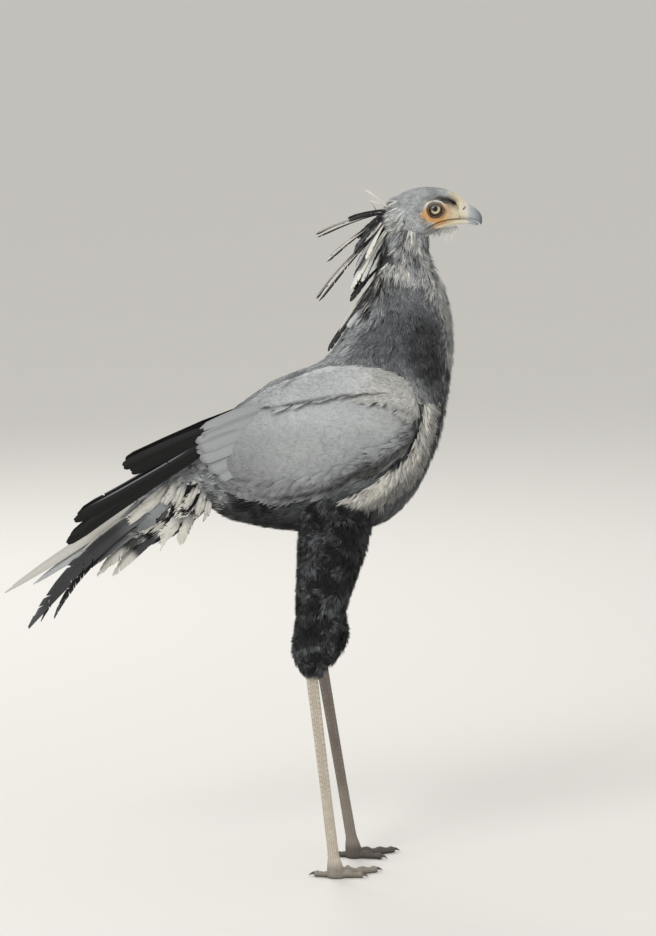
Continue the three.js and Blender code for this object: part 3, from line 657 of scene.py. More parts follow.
# Roots spread over a surface, evenly but not in rows
def spread(surface, rows, angles, gap, draw, keep=None):
    count = int(9 * 3e5 / gap ** 2)
    u, v = draw.uniform(*rows, count), draw.uniform(*angles, count)
    byU, byV, _ = slopesAt(surface, u, v)
    area = np.linalg.norm(np.cross(byU, byV), axis=-1)
    wanted = area * (rows[1] - rows[0]) * (angles[1] - angles[0]) / (gap * mm) ** 2 * 9 / count
    chosen = draw.uniform(size=count) < wanted
    u, v = u[chosen], v[chosen]
    points = lookUp(surface, u, v)
    spot = points / (gap * mm * 1.12)
    cell = np.floor(spot).astype(np.int64)
    order = np.argsort(np.sum((spot - cell - 0.5) ** 2, -1))
    _, first = np.unique(cell[order], axis=0, return_index=True)
    pick = np.sort(order[first])
    u, v, points = u[pick], v[pick], points[pick]
    if keep is not None:
        held = draw.uniform(size=len(u)) < keep(points)
        u, v = u[held], v[held]
    return u, v


# Feathers grow at the roots u, v of a surface and bend with it. lie gives the way that they point; depth,
# rise, cup, curl and loose are millimetres; local is how far a feather takes its tone from each of its own
# places and not from its root
def growCoat(surface, u, v, draw, shape, length, half, lie, depth, rise, tone, cup=0.0, curl=0.0, turn=0.15,
             swirl=0.0, vary=0.2, loose=0.0, tip=0.0, shade=0.1, streak=0.05, local=0.0):
    form = shapes[shape]
    x, t = form["points"].T
    owner = form["owner"]
    count, strands = len(u), owner.max() + 1
    byU, byV, normal = slopesAt(surface, u, v)
    roots = lookUp(surface, u, v)
    along = lie(roots, byU)
    along = unit(along - np.sum(along * normal, -1, keepdims=True) * normal)
    swing = (draw.normal(0, turn, count) + swirl * (mottle(roots, 26, 9) - 0.5))[:, None]
    along = unit(along * np.cos(swing) + np.cross(normal, along) * np.sin(swing))
    across = np.cross(along, normal)
    size = 1 + vary * draw.uniform(-1, 1, count)
    reach = 1 + (0.2 if loose else 0.05) * draw.uniform(-1, 1, (count, strands))[:, owner] * t
    sway = loose * draw.normal(size=(count, strands))[:, owner] * t ** 2
    rising = loose * np.abs(draw.normal(size=(count, strands)))[:, owner] * t ** 2
    long = (np.broadcast_to(length, count) * size)[:, None] * t * reach
    wide = (np.broadcast_to(half, count) * size)[:, None] * x + sway
    offset = mm * (long[..., None] * along[:, None] + wide[..., None] * across[:, None])
    e, f, g = np.sum(byU * byU, -1), np.sum(byU * byV, -1), np.sum(byV * byV, -1)
    det = np.maximum(e * g - f * f, 1e-12)[:, None]
    onU = np.sum(offset * byU[:, None], -1)
    onV = np.sum(offset * byV[:, None], -1)
    du = (g[:, None] * onU - f[:, None] * onV) / det
    dv = (e[:, None] * onV - f[:, None] * onU) / det
    lift = (np.broadcast_to(rise, count) * (0.6 + 0.8 * draw.uniform(size=count)))[:, None]
    under = np.broadcast_to(depth, count)[:, None] + 0.6
    height = -under + (under + lift) * np.maximum(t, 0) ** 0.75 + cup * (1 - x * x) * np.minimum(t * 3, 1)
    height = height + curl * np.maximum(t, 0) ** 3 * draw.uniform(-0.3, 1, count)[:, None] + 0.6 * rising
    points = lookUp(surface, u[:, None] + du, v[:, None] + dv, height)
    tint = 1 + shade * draw.normal(size=(count, 1)) + tip * (t - 0.6)
    tint = tint + streak * draw.normal(size=(count, strands))[:, owner]
    base = tone(roots)[:, None, :]
    if local:
        base = base + local * (tone(points) - base)
    colours = np.clip(base * np.clip(tint, 0.25, 2.2)[..., None], 0, 1)
    bake = np.stack([
        (u - surface["rows"][0]) / (surface["rows"][1] - surface["rows"][0]),
        (v - surface["angles"][0]) / (surface["angles"][1] - surface["angles"][0]),
    ], -1)
    # a feather that would run past the form's thin end is left out
    spans = np.linalg.norm(points - roots[:, None], axis=-1).max(1) / mm
    fits = spans < 1.35 * np.broadcast_to(length, count) * size + np.broadcast_to(rise, count) * 1.5 + 8
    return {
        "points": points[fits],
        "colours": colours[fits],
        "form": form,
        "bake": (0.01 + 0.975 * bake)[fits],
        "vane": np.stack([x * 0.5 + 0.5, t], -1),
    }


def coatPiece(name, batches, material, slot, replaced=()):
    # one mesh from batches of feathers, with their colours and the two UV maps
    points, colours, vane, bake, quads, tris = [], [], [], [], [], []
    start = 0
    for batch in batches:
        count, each = batch["points"].shape[:2]
        local = np.broadcast_to(batch["vane"], (count, each, 2))
        points.append(batch["points"].reshape(-1, 3))
        colours.append(batch["colours"].reshape(-1, 3))
        vane.append(local.reshape(-1, 2))
        bake.append((batch["bake"][:, None] + 0.003 * (local - [0.5, 0.5])).reshape(-1, 2))
        shift = start + np.arange(count)[:, None, None] * each
        quads.append((batch["form"]["quads"][None] + shift).reshape(-1, 4))
        tris.append((batch["form"]["tris"][None] + shift).reshape(-1, 3))
        start += count * each
    points, quads, tris = np.concatenate(points), np.concatenate(quads), np.concatenate(tris)
    corners = np.concatenate([quads.ravel(), tris.ravel()])
    sizes = np.concatenate([np.full(len(quads), 4), np.full(len(tris), 3)])
    mesh = bpy.data.meshes.new(name)
    mesh.vertices.add(len(points))
    mesh.vertices.foreach_set("co", points.astype(np.float32).ravel())
    mesh.loops.add(len(corners))
    mesh.loops.foreach_set("vertex_index", corners.astype(np.int32))
    mesh.polygons.add(len(sizes))
    mesh.polygons.foreach_set("loop_start", (np.cumsum(sizes) - sizes).astype(np.int32))
    mesh.update(calc_edges=True)
    mesh.polygons.foreach_set("use_smooth", np.ones(len(sizes), bool))
    rgba = np.concatenate([np.concatenate(colours), np.ones((len(points), 1))], 1)
    attribute = mesh.attributes.new("plumage", "FLOAT_COLOR", "POINT")
    attribute.data.foreach_set("color", rgba.astype(np.float32).ravel())
    for layer, values in (("vane", vane), ("OFBake", bake)):
        uv = mesh.uv_layers.new(name=layer)
        uv.data.foreach_set("uv", np.concatenate(values)[corners].astype(np.float32).ravel())
    piece = bpy.data.objects.new(name, mesh)
    bpy.context.scene.collection.objects.link(piece)
    finishPiece(piece, material, slot, replaced)
    print("coat", name, len(quads) * 2 + len(tris), "triangles")
    return piece


# A large single feather: a shaft, and barbs in narrow strips that part here and there
# line holds root, middle and tip; colour(t, x) gives the tone by the shares along and across
def plume(line, outward, half, outline, colour, draw, strips=90, columns=3, part=0.06, fray=0.025,
          cup=0.1, lean=0.9, shaft=0.9, shaftTone=None):
    root, middle, tip = (np.array(p, float) for p in line)
    length = np.linalg.norm(tip - root)
    shares, widths = np.array(outline).T

    def lineAt(t):
        t = np.asarray(t)[..., None]
        return root * (2 * t - 1) * (t - 1) + middle * 4 * t * (1 - t) + tip * t * (2 * t - 1)

    def frameAt(t):
        way = unit(lineAt(t + 1e-3) - lineAt(t - 1e-3))
        across = unit(np.cross(np.broadcast_to(outward, way.shape), way))
        return way, across, np.cross(way, across)

    points, colours, vane, quads = [], [], [], []
    edges = np.linspace(0.0, 1, strips + 1)
    for hand in (-1, 1):
        parts = draw.uniform(size=strips + 1) < part * (0.4 + 1.2 * edges)
        split = np.where(parts, draw.uniform(0.5, 1, strips + 1), 0)
        clump = np.cumsum(split > 0)
        worn = 1 + fray * draw.normal(size=clump.max() + 1)[clump]
        rise = 0.06 * half * draw.normal(size=clump.max() + 1)[clump]
        for k in range(strips):
            start = len(points)
            for near, t0 in ((0, edges[k]), (1, edges[k + 1])):
                x = np.linspace(0, 1, columns + 1)
                pinch = (split[k] if near == 0 else -split[k + 1]) * x ** 2 * 0.7 / strips
                wide = half * np.interp(t0, shares, widths) * worn[k]
                t = np.minimum(t0 + lean * x * wide / length + pinch, 1.03)
                way, across, up = frameAt(t)
                spot = lineAt(t) + across * (hand * x * wide)[:, None]
                spot = spot + up * (cup * half * (1 - x ** 2) + rise[k] * x)[:, None]
                points += list(spot)
                colours += [colour(a, b) for a, b in zip(t, hand * x)]
                vane += list(zip(0.5 + 0.5 * hand * x, t))
            for c in range(columns):
                a, b = start + c, start + columns + 1 + c
                quads.append((a, a + 1, b + 1, b) if hand > 0 else (a, b, b + 1, a + 1))
    rings = 14
    start = len(points)
    for k in range(rings + 1):
        t = k / rings * 0.97
        way, across, up = frameAt(np.array(t))
        wide = shaft * (1 - 0.85 * t)
        for turn in range(4):
            angle = math.pi / 2 * turn
            spot = lineAt(np.array(t)) + up * cup * half
            spot = spot + wide * (math.cos(angle) * across + math.sin(angle) * up)
            points.append(spot)
            colours.append(colour(t, 0.0) * 1.25 if shaftTone is None else shaftTone(t))
            vane.append((0.5, t))
    for k in range(rings):
        for turn in range(4):
            a, b = start + 4 * k + turn, start + 4 * k + (turn + 1) % 4
            quads.append((a, b, b + 4, a + 4))
    points = mm * np.array(points)
    return {
        "points": points[None],
        "colours": np.clip(np.array(colours), 0, 1)[None],
        "form": {"quads": np.array(quads), "tris": np.zeros((0, 3), int)},
        "vane": np.array(vane)[None],
    }


def placeInBake(plumes):  # each large feather gets its own strip of the bake map
    for k, batch in enumerate(plumes):
        low, high = (k + 0.05) / len(plumes), (k + 0.95) / len(plumes)
        local = batch["vane"][0]
        batch["bake"] = np.zeros((1, 2))
        batch["strip"] = np.stack([low + (high - low) * local[:, 0], 0.02 + 0.9 * local[:, 1]], -1)
    return plumes


def plumePiece(name, plumes, material, slot, replaced=()):
    plumes = placeInBake(plumes)
    piece = coatPiece(name, plumes, material, slot, replaced)
    corners = np.empty(len(piece.data.loops), np.int32)
    piece.data.loops.foreach_get("vertex_index", corners)
    strip = np.concatenate([batch["strip"] for batch in plumes])
    piece.data.uv_layers["OFBake"].data.foreach_set("uv", strip[corners].astype(np.float32).ravel())
    return piece


def addNode(tree, kind, settings=(), values=(), links=()):
    node = tree.nodes.new(kind)
    for key, value in dict(settings).items():
        setattr(node, key, value)
    for key, value in dict(values).items():
        node.inputs[key].default_value = value
    for key, source in dict(links).items():
        tree.links.new(source, node.inputs[key])
    return node


def newMaterial(name, roughness):
    material = bpy.data.materials.new(name)
    material.use_nodes = True
    shader = material.node_tree.nodes["Principled BSDF"]
    shader.inputs["Roughness"].default_value = roughness
    return material, material.node_tree, shader


def featherKeratin(name, barbsAcross, depth, roughness):
    # keratin vanes grown barb by barb: matt and soft, with fine slanting lines along the barbs
    material, tree, shader = newMaterial(name, roughness)
    shader.inputs["Specular IOR Level"].default_value = 0.25
    shader.inputs["Sheen Weight"].default_value = 0.05
    shader.inputs["Sheen Roughness"].default_value = 0.5
    plumage = addNode(tree, "ShaderNodeAttribute", {"attribute_name": "plumage"})
    vane = addNode(tree, "ShaderNodeUVMap", {"uv_map": "vane"})
    parts = addNode(tree, "ShaderNodeSeparateXYZ", links={"Vector": vane.outputs["UV"]})
    centred = addNode(tree, "ShaderNodeMath", {"operation": "SUBTRACT"}, {1: 0.5}, {0: parts.outputs["X"]})
    offCentre = addNode(tree, "ShaderNodeMath", {"operation": "ABSOLUTE"}, links={0: centred.outputs[0]})
    slant = addNode(tree, "ShaderNodeMath", {"operation": "MULTIPLY_ADD"}, {1: -0.35},
                    {0: offCentre.outputs[0], 2: parts.outputs["Y"]})
    phase = addNode(tree, "ShaderNodeMath", {"operation": "MULTIPLY"}, {1: barbsAcross * 2 * math.pi},
                    {0: slant.outputs[0]})
    barbs = addNode(tree, "ShaderNodeMath", {"operation": "SINE"}, links={0: phase.outputs[0]})
    place = addNode(tree, "ShaderNodeTexCoord")
    dust = addNode(tree, "ShaderNodeTexNoise", values={"Scale": 420.0, "Detail": 3.0},
                   links={"Vector": place.outputs["Object"]})
    tone = addNode(tree, "ShaderNodeMapRange", values={"To Min": 0.86, "To Max": 1.14},
                   links={"Value": dust.outputs["Fac"]})
    line = addNode(tree, "ShaderNodeMath", {"operation": "MULTIPLY_ADD"}, {1: depth},
                   {0: barbs.outputs[0], 2: tone.outputs[0]})
    scaled = addNode(tree, "ShaderNodeVectorMath", {"operation": "SCALE"},
                     links={0: plumage.outputs["Color"], "Scale": line.outputs[0]})
    tree.links.new(scaled.outputs[0], shader.inputs["Base Color"])
    bump = addNode(tree, "ShaderNodeBump", values={"Strength": 0.25, "Distance": 0.0004},
                   links={"Height": barbs.outputs[0]})
    tree.links.new(bump.outputs[0], shader.inputs["Normal"])
    return material


def featheredSkin():
    # the skin under the coat, in the coat's own tones so that no gap shows
    material, tree, shader = newMaterial("skin under down, soft", 0.85)
    plumage = addNode(tree, "ShaderNodeAttribute", {"attribute_name": "plumage"})
    place = addNode(tree, "ShaderNodeTexCoord")
    down = addNode(tree, "ShaderNodeTexNoise", values={"Scale": 260.0, "Detail": 5.0, "Roughness": 0.7},
                   links={"Vector": place.outputs["Object"]})
    tone = addNode(tree, "ShaderNodeMapRange", values={"To Min": 0.6, "To Max": 1.05},
                   links={"Value": down.outputs["Fac"]})
    scaled = addNode(tree, "ShaderNodeVectorMath", {"operation": "SCALE"},
                     links={0: plumage.outputs["Color"], "Scale": tone.outputs[0]})
    tree.links.new(scaled.outputs[0], shader.inputs["Base Color"])
    bump = addNode(tree, "ShaderNodeBump", values={"Strength": 0.5, "Distance": 0.0012},
                   links={"Height": down.outputs["Fac"]})
    tree.links.new(bump.outputs[0], shader.inputs["Normal"])
    return material


def hornBill():
    # bill horn over bone, polished by wear: pale cere, then blue-grey, darkest at the tip
    material, tree, shader = newMaterial("bill horn, worn smooth", 0.38)
    shader.inputs["Specular IOR Level"].default_value = 0.5
    place = addNode(tree, "ShaderNodeTexCoord")
    parts = addNode(tree, "ShaderNodeSeparateXYZ", links={"Vector": place.outputs["Object"]})
    fibre = addNode(tree, "ShaderNodeTexNoise", values={"Scale": 300.0, "Detail": 4.0},
                    links={"Vector": place.outputs["Object"]})
    along = addNode(tree, "ShaderNodeMath", {"operation": "MULTIPLY_ADD"}, {1: 0.006},
                    {0: fibre.outputs["Fac"], 2: parts.outputs["X"]})
    share = addNode(tree, "ShaderNodeMapRange", values={"From Min": 0.333, "From Max": 0.371},
                    links={"Value": along.outputs[0]})
    ramp = addNode(tree, "ShaderNodeValToRGB", links={"Fac": share.outputs[0]})
    stops = ramp.color_ramp.elements
    stops[0].position, stops[0].color = 0.0, (*linear("#d9cdb0"), 1)
    stops[1].position, stops[1].color = 1.0, (*linear("#565d63"), 1)
    for position, tone in ((0.38, "#d5cfc2"), (0.52, "#aeb3b6"), (0.85, "#7f888e")):
        stops.new(position).color = (*linear(tone), 1)
    tree.links.new(ramp.outputs["Color"], shader.inputs["Base Color"])
    bump = addNode(tree, "ShaderNodeBump", values={"Strength": 0.12, "Distance": 0.0005},
                   links={"Height": fibre.outputs["Fac"]})
    tree.links.new(bump.outputs[0], shader.inputs["Normal"])
    return material


def attributeSkin(name, attribute, roughness, grainScale, grainDepth):
    # bare living skin: toned by its own attribute, with fine pores and creases
    material, tree, shader = newMaterial(name, roughness)
    shader.inputs["Specular IOR Level"].default_value = 0.4
    tone = addNode(tree, "ShaderNodeAttribute", {"attribute_name": attribute})
    place = addNode(tree, "ShaderNodeTexCoord")
    cells = addNode(tree, "ShaderNodeTexVoronoi", {"feature": "DISTANCE_TO_EDGE"}, {"Scale": grainScale},
                    {"Vector": place.outputs["Object"]})
    creases = addNode(tree, "ShaderNodeMapRange", values={"From Max": 0.12, "To Min": 0.82, "To Max": 1.04},
                      links={"Value": cells.outputs["Distance"]})
    scaled = addNode(tree, "ShaderNodeVectorMath", {"operation": "SCALE"},
                     links={0: tone.outputs["Color"], "Scale": creases.outputs[0]})
    tree.links.new(scaled.outputs[0], shader.inputs["Base Color"])
    bump = addNode(tree, "ShaderNodeBump", values={"Strength": grainDepth, "Distance": 0.0004},
                   links={"Height": creases.outputs[0]})
    tree.links.new(bump.outputs[0], shader.inputs["Normal"])
    return material


def eyeGlass():
    # a wet cornea over iris and pupil: the pattern is set by the distance from the pupil's middle, which
    # lies a little above the ball's
    material, tree, shader = newMaterial("wet eye", 0.05)
    place = addNode(tree, "ShaderNodeTexCoord")
    centred = addNode(tree, "ShaderNodeMapping", values={"Location": (-0.2957, 0, -1.0354)},
                      links={"Vector": place.outputs["Object"]})
    parts = addNode(tree, "ShaderNodeSeparateXYZ", links={"Vector": centred.outputs["Vector"]})
    flat = addNode(tree, "ShaderNodeCombineXYZ", links={"X": parts.outputs["X"], "Z": parts.outputs["Z"]})
    reach = addNode(tree, "ShaderNodeVectorMath", {"operation": "LENGTH"}, links={0: flat.outputs[0]})
    share = addNode(tree, "ShaderNodeMapRange", values={"From Max": 0.012},
                    links={"Value": reach.outputs["Value"]})
    ramp = addNode(tree, "ShaderNodeValToRGB", links={"Fac": share.outputs[0]})
    stops = ramp.color_ramp.elements
    stops[0].position, stops[0].color = 0.27, (*linear("#0c0a09"), 1)
    stops[1].position, stops[1].color = 0.78, (*linear("#3a3029"), 1)
    for position, tone in ((0.32, "#6f6650"), (0.40, "#cfc5a8"), (0.56, "#c3b897"), (0.66, "#5a4e40")):
        stops.new(position).color = (*linear(tone), 1)
    # the lid's shadow covers the upper rear part, so that the iris shows as a crescent in front and below
    slant = addNode(tree, "ShaderNodeMath", {"operation": "MULTIPLY_ADD"}, {1: -0.7},
                    {0: parts.outputs["X"], 2: parts.outputs["Z"]})
    shade = addNode(tree, "ShaderNodeMapRange",
                    values={"From Min": -0.004, "From Max": 0.003, "To Min": 1.0, "To Max": 0.2},
                    links={"Value": slant.outputs[0]})
    scaled = addNode(tree, "ShaderNodeVectorMath", {"operation": "SCALE"},
                     links={0: ramp.outputs["Color"], "Scale": shade.outputs[0]})
    tree.links.new(scaled.outputs[0], shader.inputs["Base Color"])
    shader.inputs["Coat Weight"].default_value = 0.6
    shader.inputs["Coat Roughness"].default_value = 0.02
    shader.inputs["Specular IOR Level"].default_value = 0.15
    return material


def clawHorn():
    # claw horn, grown in layers and ground blunt on earth
    material, tree, shader = newMaterial("claw horn, ground by walking", 0.42)
    place = addNode(tree, "ShaderNodeTexCoord")
    streak = addNode(tree, "ShaderNodeTexNoise", values={"Scale": 500.0, "Detail": 4.0},
                     links={"Vector": place.outputs["Object"]})
    ramp = addNode(tree, "ShaderNodeValToRGB", links={"Fac": streak.outputs["Fac"]})
    stops = ramp.color_ramp.elements
    stops[0].position, stops[0].color = 0.3, (*linear("#2e2a27"), 1)
    stops[1].position, stops[1].color = 0.75, (*linear("#6a6059"), 1)
    tree.links.new(ramp.outputs["Color"], shader.inputs["Base Color"])
    return material


paints = {
    "down": featherKeratin("body feather keratin, downy", 5, 0.03, 0.75),
    "covert": featherKeratin("covert keratin, smooth vanes", 9, 0.04, 0.62),
    "flight": featherKeratin("flight feather keratin, zipped barbs", 60, 0.05, 0.5),
    "skin": featheredSkin(),
    "face": attributeSkin("bare face skin, waxy", "plumage", 0.48, 700.0, 0.35),
    "leg": attributeSkin("leg skin in horny plates", "plumage", 0.5, 520.0, 0.45),
    "bill": hornBill(),
    "eye": eyeGlass(),
    "claw": clawHorn(),
}


# A grid primitive bent into a closed form and sewn together along its edges
def wrapped(name, place, along, around):
    deselectAll()
    bpy.ops.mesh.primitive_grid_add(x_subdivisions=along, y_subdivisions=around, size=2)
    piece = bpy.context.object
    piece.name = name
    flat = (verticesOf(piece)[:, :2] + 1) / 2
    moveVertices(piece, place(flat[:, 0], flat[:, 1]))
    bpy.ops.object.mode_set(mode="EDIT")
    bpy.ops.mesh.select_all(action="SELECT")
    bpy.ops.mesh.remove_doubles(threshold=1e-6)
    bpy.ops.mesh.fill_holes(sides=0)
    bpy.ops.mesh.normals_make_consistent(inside=False)
    bpy.ops.object.mode_set(mode="OBJECT")
    return piece


def paintVertices(piece, tone):
    points = verticesOf(piece)
    attribute = piece.data.attributes.new("plumage", "FLOAT_COLOR", "POINT")
    rgba = np.concatenate([np.clip(tone(points), 0, 1), np.ones((len(points), 1))], 1)
    attribute.data.foreach_set("color", rgba.astype(np.float32).ravel())


def wingBed(name, side):
    def place(u, v):
        share = np.where(v < 0.5, 2 * v, 2 - 2 * v)
        row = 0.3 + u * (wingForm["end"] - 0.8)
        outer = overWing(side, row, share, -coatDepth["wing"])
        x, z = placeOnWing(row, share)
        inner = lookUp(bodySurface, *placeOnBody(x, z, side), np.full(x.shape, -12.0))
        blend = (smooth(v, 0.0, 0.04) * (1 - smooth(v, 0.46, 0.5)))[:, None]
        return inner + blend * (outer - inner)
    return wrapped(name, place, 90, 120)


def skinOf(name, form, end, depthAt, along, around):  # a form's skin, sunk by the coat's depth at each row
    def place(u, v):
        return onForm(form, end * u, 2 * math.pi * v, -depthAt(end * u))
    return wrapped(name, place, along, around)


def thighDepth(row):
    return coatDepth["thigh"] * (1 - 0.05 * row)


def buildSkin():
    parts = [
        skinOf("torsoSkin", bodyForm, 14.9, bodyDepth, 170, 90),
        skinOf("tailSkin", tailForm, 3.9, lambda row: coatDepth["tail"], 40, 40),
    ]
    parts += [skinOf(name + "ThighSkin", form, 8, thighDepth, 60, 50) for name, form in thighForms.items()]
    parts += [wingBed(name + "WingSkin", side) for name, side in sides.items()]
    skin = joined("bodySkin", parts)
    applied(skin, "REMESH", mode="VOXEL", voxel_size=grain["skin"])
    applied(skin, "SMOOTH", factor=0.5, iterations=2)
    return skin


# The head: one closed form whose side relief is a map of the side view, in millimetres round the eye
eyes = {"centre": (296, 15.4, 1034), "radius": 12.2}
headRelief = {
    "lidMargin": 9.9,  # distance from the eye's axis to the lids' free edge
    "upperArc": 14.6,  # the broad bright fold over the eye
    "socket": 13.4,  # where the socket meets the face
    "brow": [(281, 1046), (291, 1051), (303, 1053.4), (314, 1051.5), (323, 1047.5), (330, 1042.5)],
    "gape": [(286, 1005.5), (292, 1010.5), (303, 1015.3), (316, 1018.4), (331, 1019.4), (340, 1019.4)],
    "cheek": [(277, 1024), (283, 1014), (291, 1006)],
    "lore": [(309, 1033), (320, 1036), (331, 1038)],
}


def eyeReach(x, z):
    dx, dz = x - eyes["centre"][0], z - eyes["centre"][2]
    return np.hypot(dx / 1.06, dz / 0.97), np.arctan2(dz, dx)


def faceRelief(x, z, out):  # how far out the face lies at a place of the side view
    reach, turn = eyeReach(x, z)
    over = smooth(np.sin(turn - 0.25), -0.55, 0.45)  # 1 over the eye and 0 under it
    gap, where = nearLine(x, z, headRelief["brow"])
    ridge = sideOf(x, z, headRelief["brow"])
    ends = np.sin(math.pi * np.clip(where, 0, 1)) ** 0.6
    face = out + 1.5 * ends * np.exp(-((ridge - 3.2) / 2.6) ** 2) * (gap < 12)
    face = face - 1.9 * ends * np.exp(-((ridge + 1.2) / 1.9) ** 2) * (gap < 9)
    face = face + 1.5 * over * np.exp(-((reach - headRelief["upperArc"]) / 1.5) ** 2)
    face = face - 0.8 * over * np.exp(-((reach - 17.6) / 1.3) ** 2)
    face = face + 0.7 * (1 - over) * np.exp(-((reach - 15.2) / 1.3) ** 2)
    lip = sideOf(x, z, headRelief["gape"])
    near = gapTo(x, z, headRelief["gape"])
    face = face + 0.9 * np.exp(-((np.abs(lip) - 2.4) / 1.2) ** 2) * (near < 6)
    face = face - 1.5 * np.exp(-(near / 0.8) ** 2)
    face = face - 0.8 * np.exp(-(gapTo(x, z, headRelief["cheek"]) / 1.6) ** 2)
    face = face + 0.9 * np.exp(-(gapTo(x, z, headRelief["lore"]) / 3.0) ** 2)
    ball = eyes["centre"][1] + np.sqrt(np.maximum(eyes["radius"] ** 2 - reach ** 2, 4))
    margin = headRelief["lidMargin"] - 0.9 * over
    lid = ball + 0.3 + 1.5 * smooth(reach, margin - 0.2, margin + 0.7) + 0.5 * (reach - margin).clip(0, 4)
    lid = np.where(reach < margin - 0.2, 12 + 0 * ball, lid)
    return lid + smooth(reach, headRelief["socket"] - 2.2, headRelief["socket"]) * (face - lid)


def buildHead():
    def place(u, v):
        row, angle = 8.25 * u, 2 * math.pi * v
        feathered = -coatDepth["head"] * (1 - smooth(row, 4.2, 6.0))
        end = -2.5 * smooth(row, 7.98, 8.2)
        points = onForm(headForm, row, angle, feathered + end) / mm
        x, y, z = points.T
        share = smooth(np.abs(np.sin(angle)), 0.35, 0.75)
        out = faceRelief(x, z, np.abs(y))
        points[:, 1] = np.sign(y) * (np.abs(y) + share * (out - np.abs(y)))
        return points * mm
    head = wrapped("headSkin", place, 190, 330)
    points = verticesOf(head)
    normals = np.empty(len(points) * 3)
    head.data.vertices.foreach_get("normal", normals)
    bare = bareShare(points)[:, None]
    folds = mottle(points * [1, 1, 1.9], 2.6, 4)[:, None] - 0.5
    pores = mottle(points, 0.9, 14)[:, None] - 0.5
    moveVertices(head, points + mm * bare * (0.42 * folds + 0.16 * pores) * normals.reshape(-1, 3))
    return head


def ribbonBatch(starts, middles, ends, wide, colours, flat):
    # single bristles: each a narrow strip bent over three points, tapering to its end
    stations = (0, 0.3, 0.6, 0.85)
    taper = np.array([1, 1, 0.75, 0.45])[None, :, None]
    t = np.array(stations)[None, :, None]
    curve = starts[:, None] * (1 - t) ** 2 + 2 * middles[:, None] * t * (1 - t) + ends[:, None] * t ** 2
    across = unit(np.cross(unit(ends - starts), flat))[:, None] * (wide[:, None, None] * taper)
    points = np.stack([curve - across, curve + across], 2).reshape(len(starts), 8, 3)
    points = np.concatenate([points, ends[:, None]], 1) * mm
    return {
        "points": points,
        "colours": np.broadcast_to(colours[:, None], (len(starts), 9, 3)),
        "form": asArrays(quads=[(0, 1, 3, 2), (2, 3, 5, 4), (4, 5, 7, 6)], tris=[(6, 7, 8)]),
        "vane": np.array([(x, station) for station in stations for x in (0.4, 0.6)] + [(0.5, 1)], float),
        "bake": 0.05 + 0.9 * np.stack([np.linspace(0, 1, len(starts)), 0.5 + 0 * wide], -1),
    }


def placeOnHead(x, z):  # the row and angle of a place in the head's side view
    row = rowAt(headForm, x, z, 8)
    _, topZ, _, lowZ = edgesAt(headForm, row)
    share = (topZ - z) / (topZ - lowZ)
    return row, np.arccos(np.clip(1 - 2 * share, -0.95, 0.95))


bristles = {  # how many, and from and to: length, half width, and where along and across the jaw
    "brow": {"count": 150, "length": (2.5, 5.5), "half": (0.22, 0.4), "tone": "#191513"},
    "wisps": {"count": 12, "length": (14, 27), "half": (0.42, 0.42), "x": (300, 330), "y": (-8, 8)},
    "chin": {"count": 90, "length": (6, 17), "half": (0.25, 0.45), "x": (290, 330), "y": (-9, 9)},
}


def browLashes(draw, side):
    size = bristles["brow"]
    count = size["count"]
    t = 0.9 - 0.72 * draw.uniform(0, 1, count) ** 1.4
    line = np.array(headRelief["brow"], float)
    x, z = (np.interp(t * (len(line) - 1), np.arange(len(line)), line[:, k]) for k in (0, 1))
    z = z - 0.4 - draw.uniform(0, 2.2, count)
    out = np.abs(lookUp(headSurface, *placeOnHead(x, z))[:, 1]) / mm
    root = np.stack([x, side * (out - 1.2), z], -1)
    length = draw.uniform(*size["length"], count) * (0.5 + 0.7 * smooth(t, 0.3, 0.8))
    ahead = 0.55 + 0.25 * draw.normal(size=count)
    down = -0.25 - 0.6 * t + 0.3 * draw.normal(size=count)
    tip = root + unit(np.stack([ahead, 0.85 * side + 0 * t, down], -1)) * length[:, None]
    bent = (root + tip) / 2 + np.array([0, 0.5 * side, 1.2])
    dark = np.tile(linear(size["tone"]), (count, 1)) * draw.uniform(0.7, 1.4, (count, 1))
    wide = draw.uniform(*size["half"], count)
    return ribbonBatch(root, bent, tip, wide, dark, np.array([0, side * 1.0, 0.2]))


def jawRoots(draw, size):  # along the jaw, which rises a little towards the chin
    x = draw.uniform(*size["x"], size["count"])
    return np.stack([x, draw.uniform(*size["y"], size["count"]), 1003 + 0.12 * (x - 290)], -1)


def longWisps(draw):  # a few white bristles that hang far below the jaw
    size = bristles["wisps"]
    count = size["count"]
    root = jawRoots(draw, size)
    ahead, out = draw.uniform(-3, 7, count), draw.normal(0, 3, count)
    tip = root + np.stack([ahead, out, -draw.uniform(*size["length"], count)], -1)
    bent = (root + tip) / 2 + draw.uniform(2, 6, count)[:, None] * np.array([1.0, 0, 0])
    white = np.tile(tones["white"], (count, 1))
    return ribbonBatch(root, bent, tip, np.full(count, size["half"][0]), white, np.array([0, 1.0, 0]))


def chinHairs(draw):
    size = bristles["chin"]
    count = size["count"]
    root = jawRoots(draw, size)
    length = draw.uniform(*size["length"], count) * (1.1 - (root[:, 0] - 290) / 90)
    sway = draw.normal(size=(count, 3)) * [0.35, 0.25, 0.15]
    tip = root + unit(np.array([0.25, 0, -1]) + sway) * length[:, None]
    pale = np.tile(tones["pale"], (count, 1)) * draw.uniform(0.6, 1.05, (count, 1))
    bent = (root + tip) / 2 + draw.normal(size=(count, 3)) * 1.5
    wide = draw.uniform(*size["half"], count)
    return ribbonBatch(root, bent, tip, wide, pale, np.array([0, 1.0, 0]))


def buildBristles():
    draw = np.random.default_rng(41)
    batches = [browLashes(draw, side) for side in sides.values()]
    batches += [longWisps(draw), chinHairs(draw)]
    coatPiece("bristles", batches, paints["down"], "black_feathers")


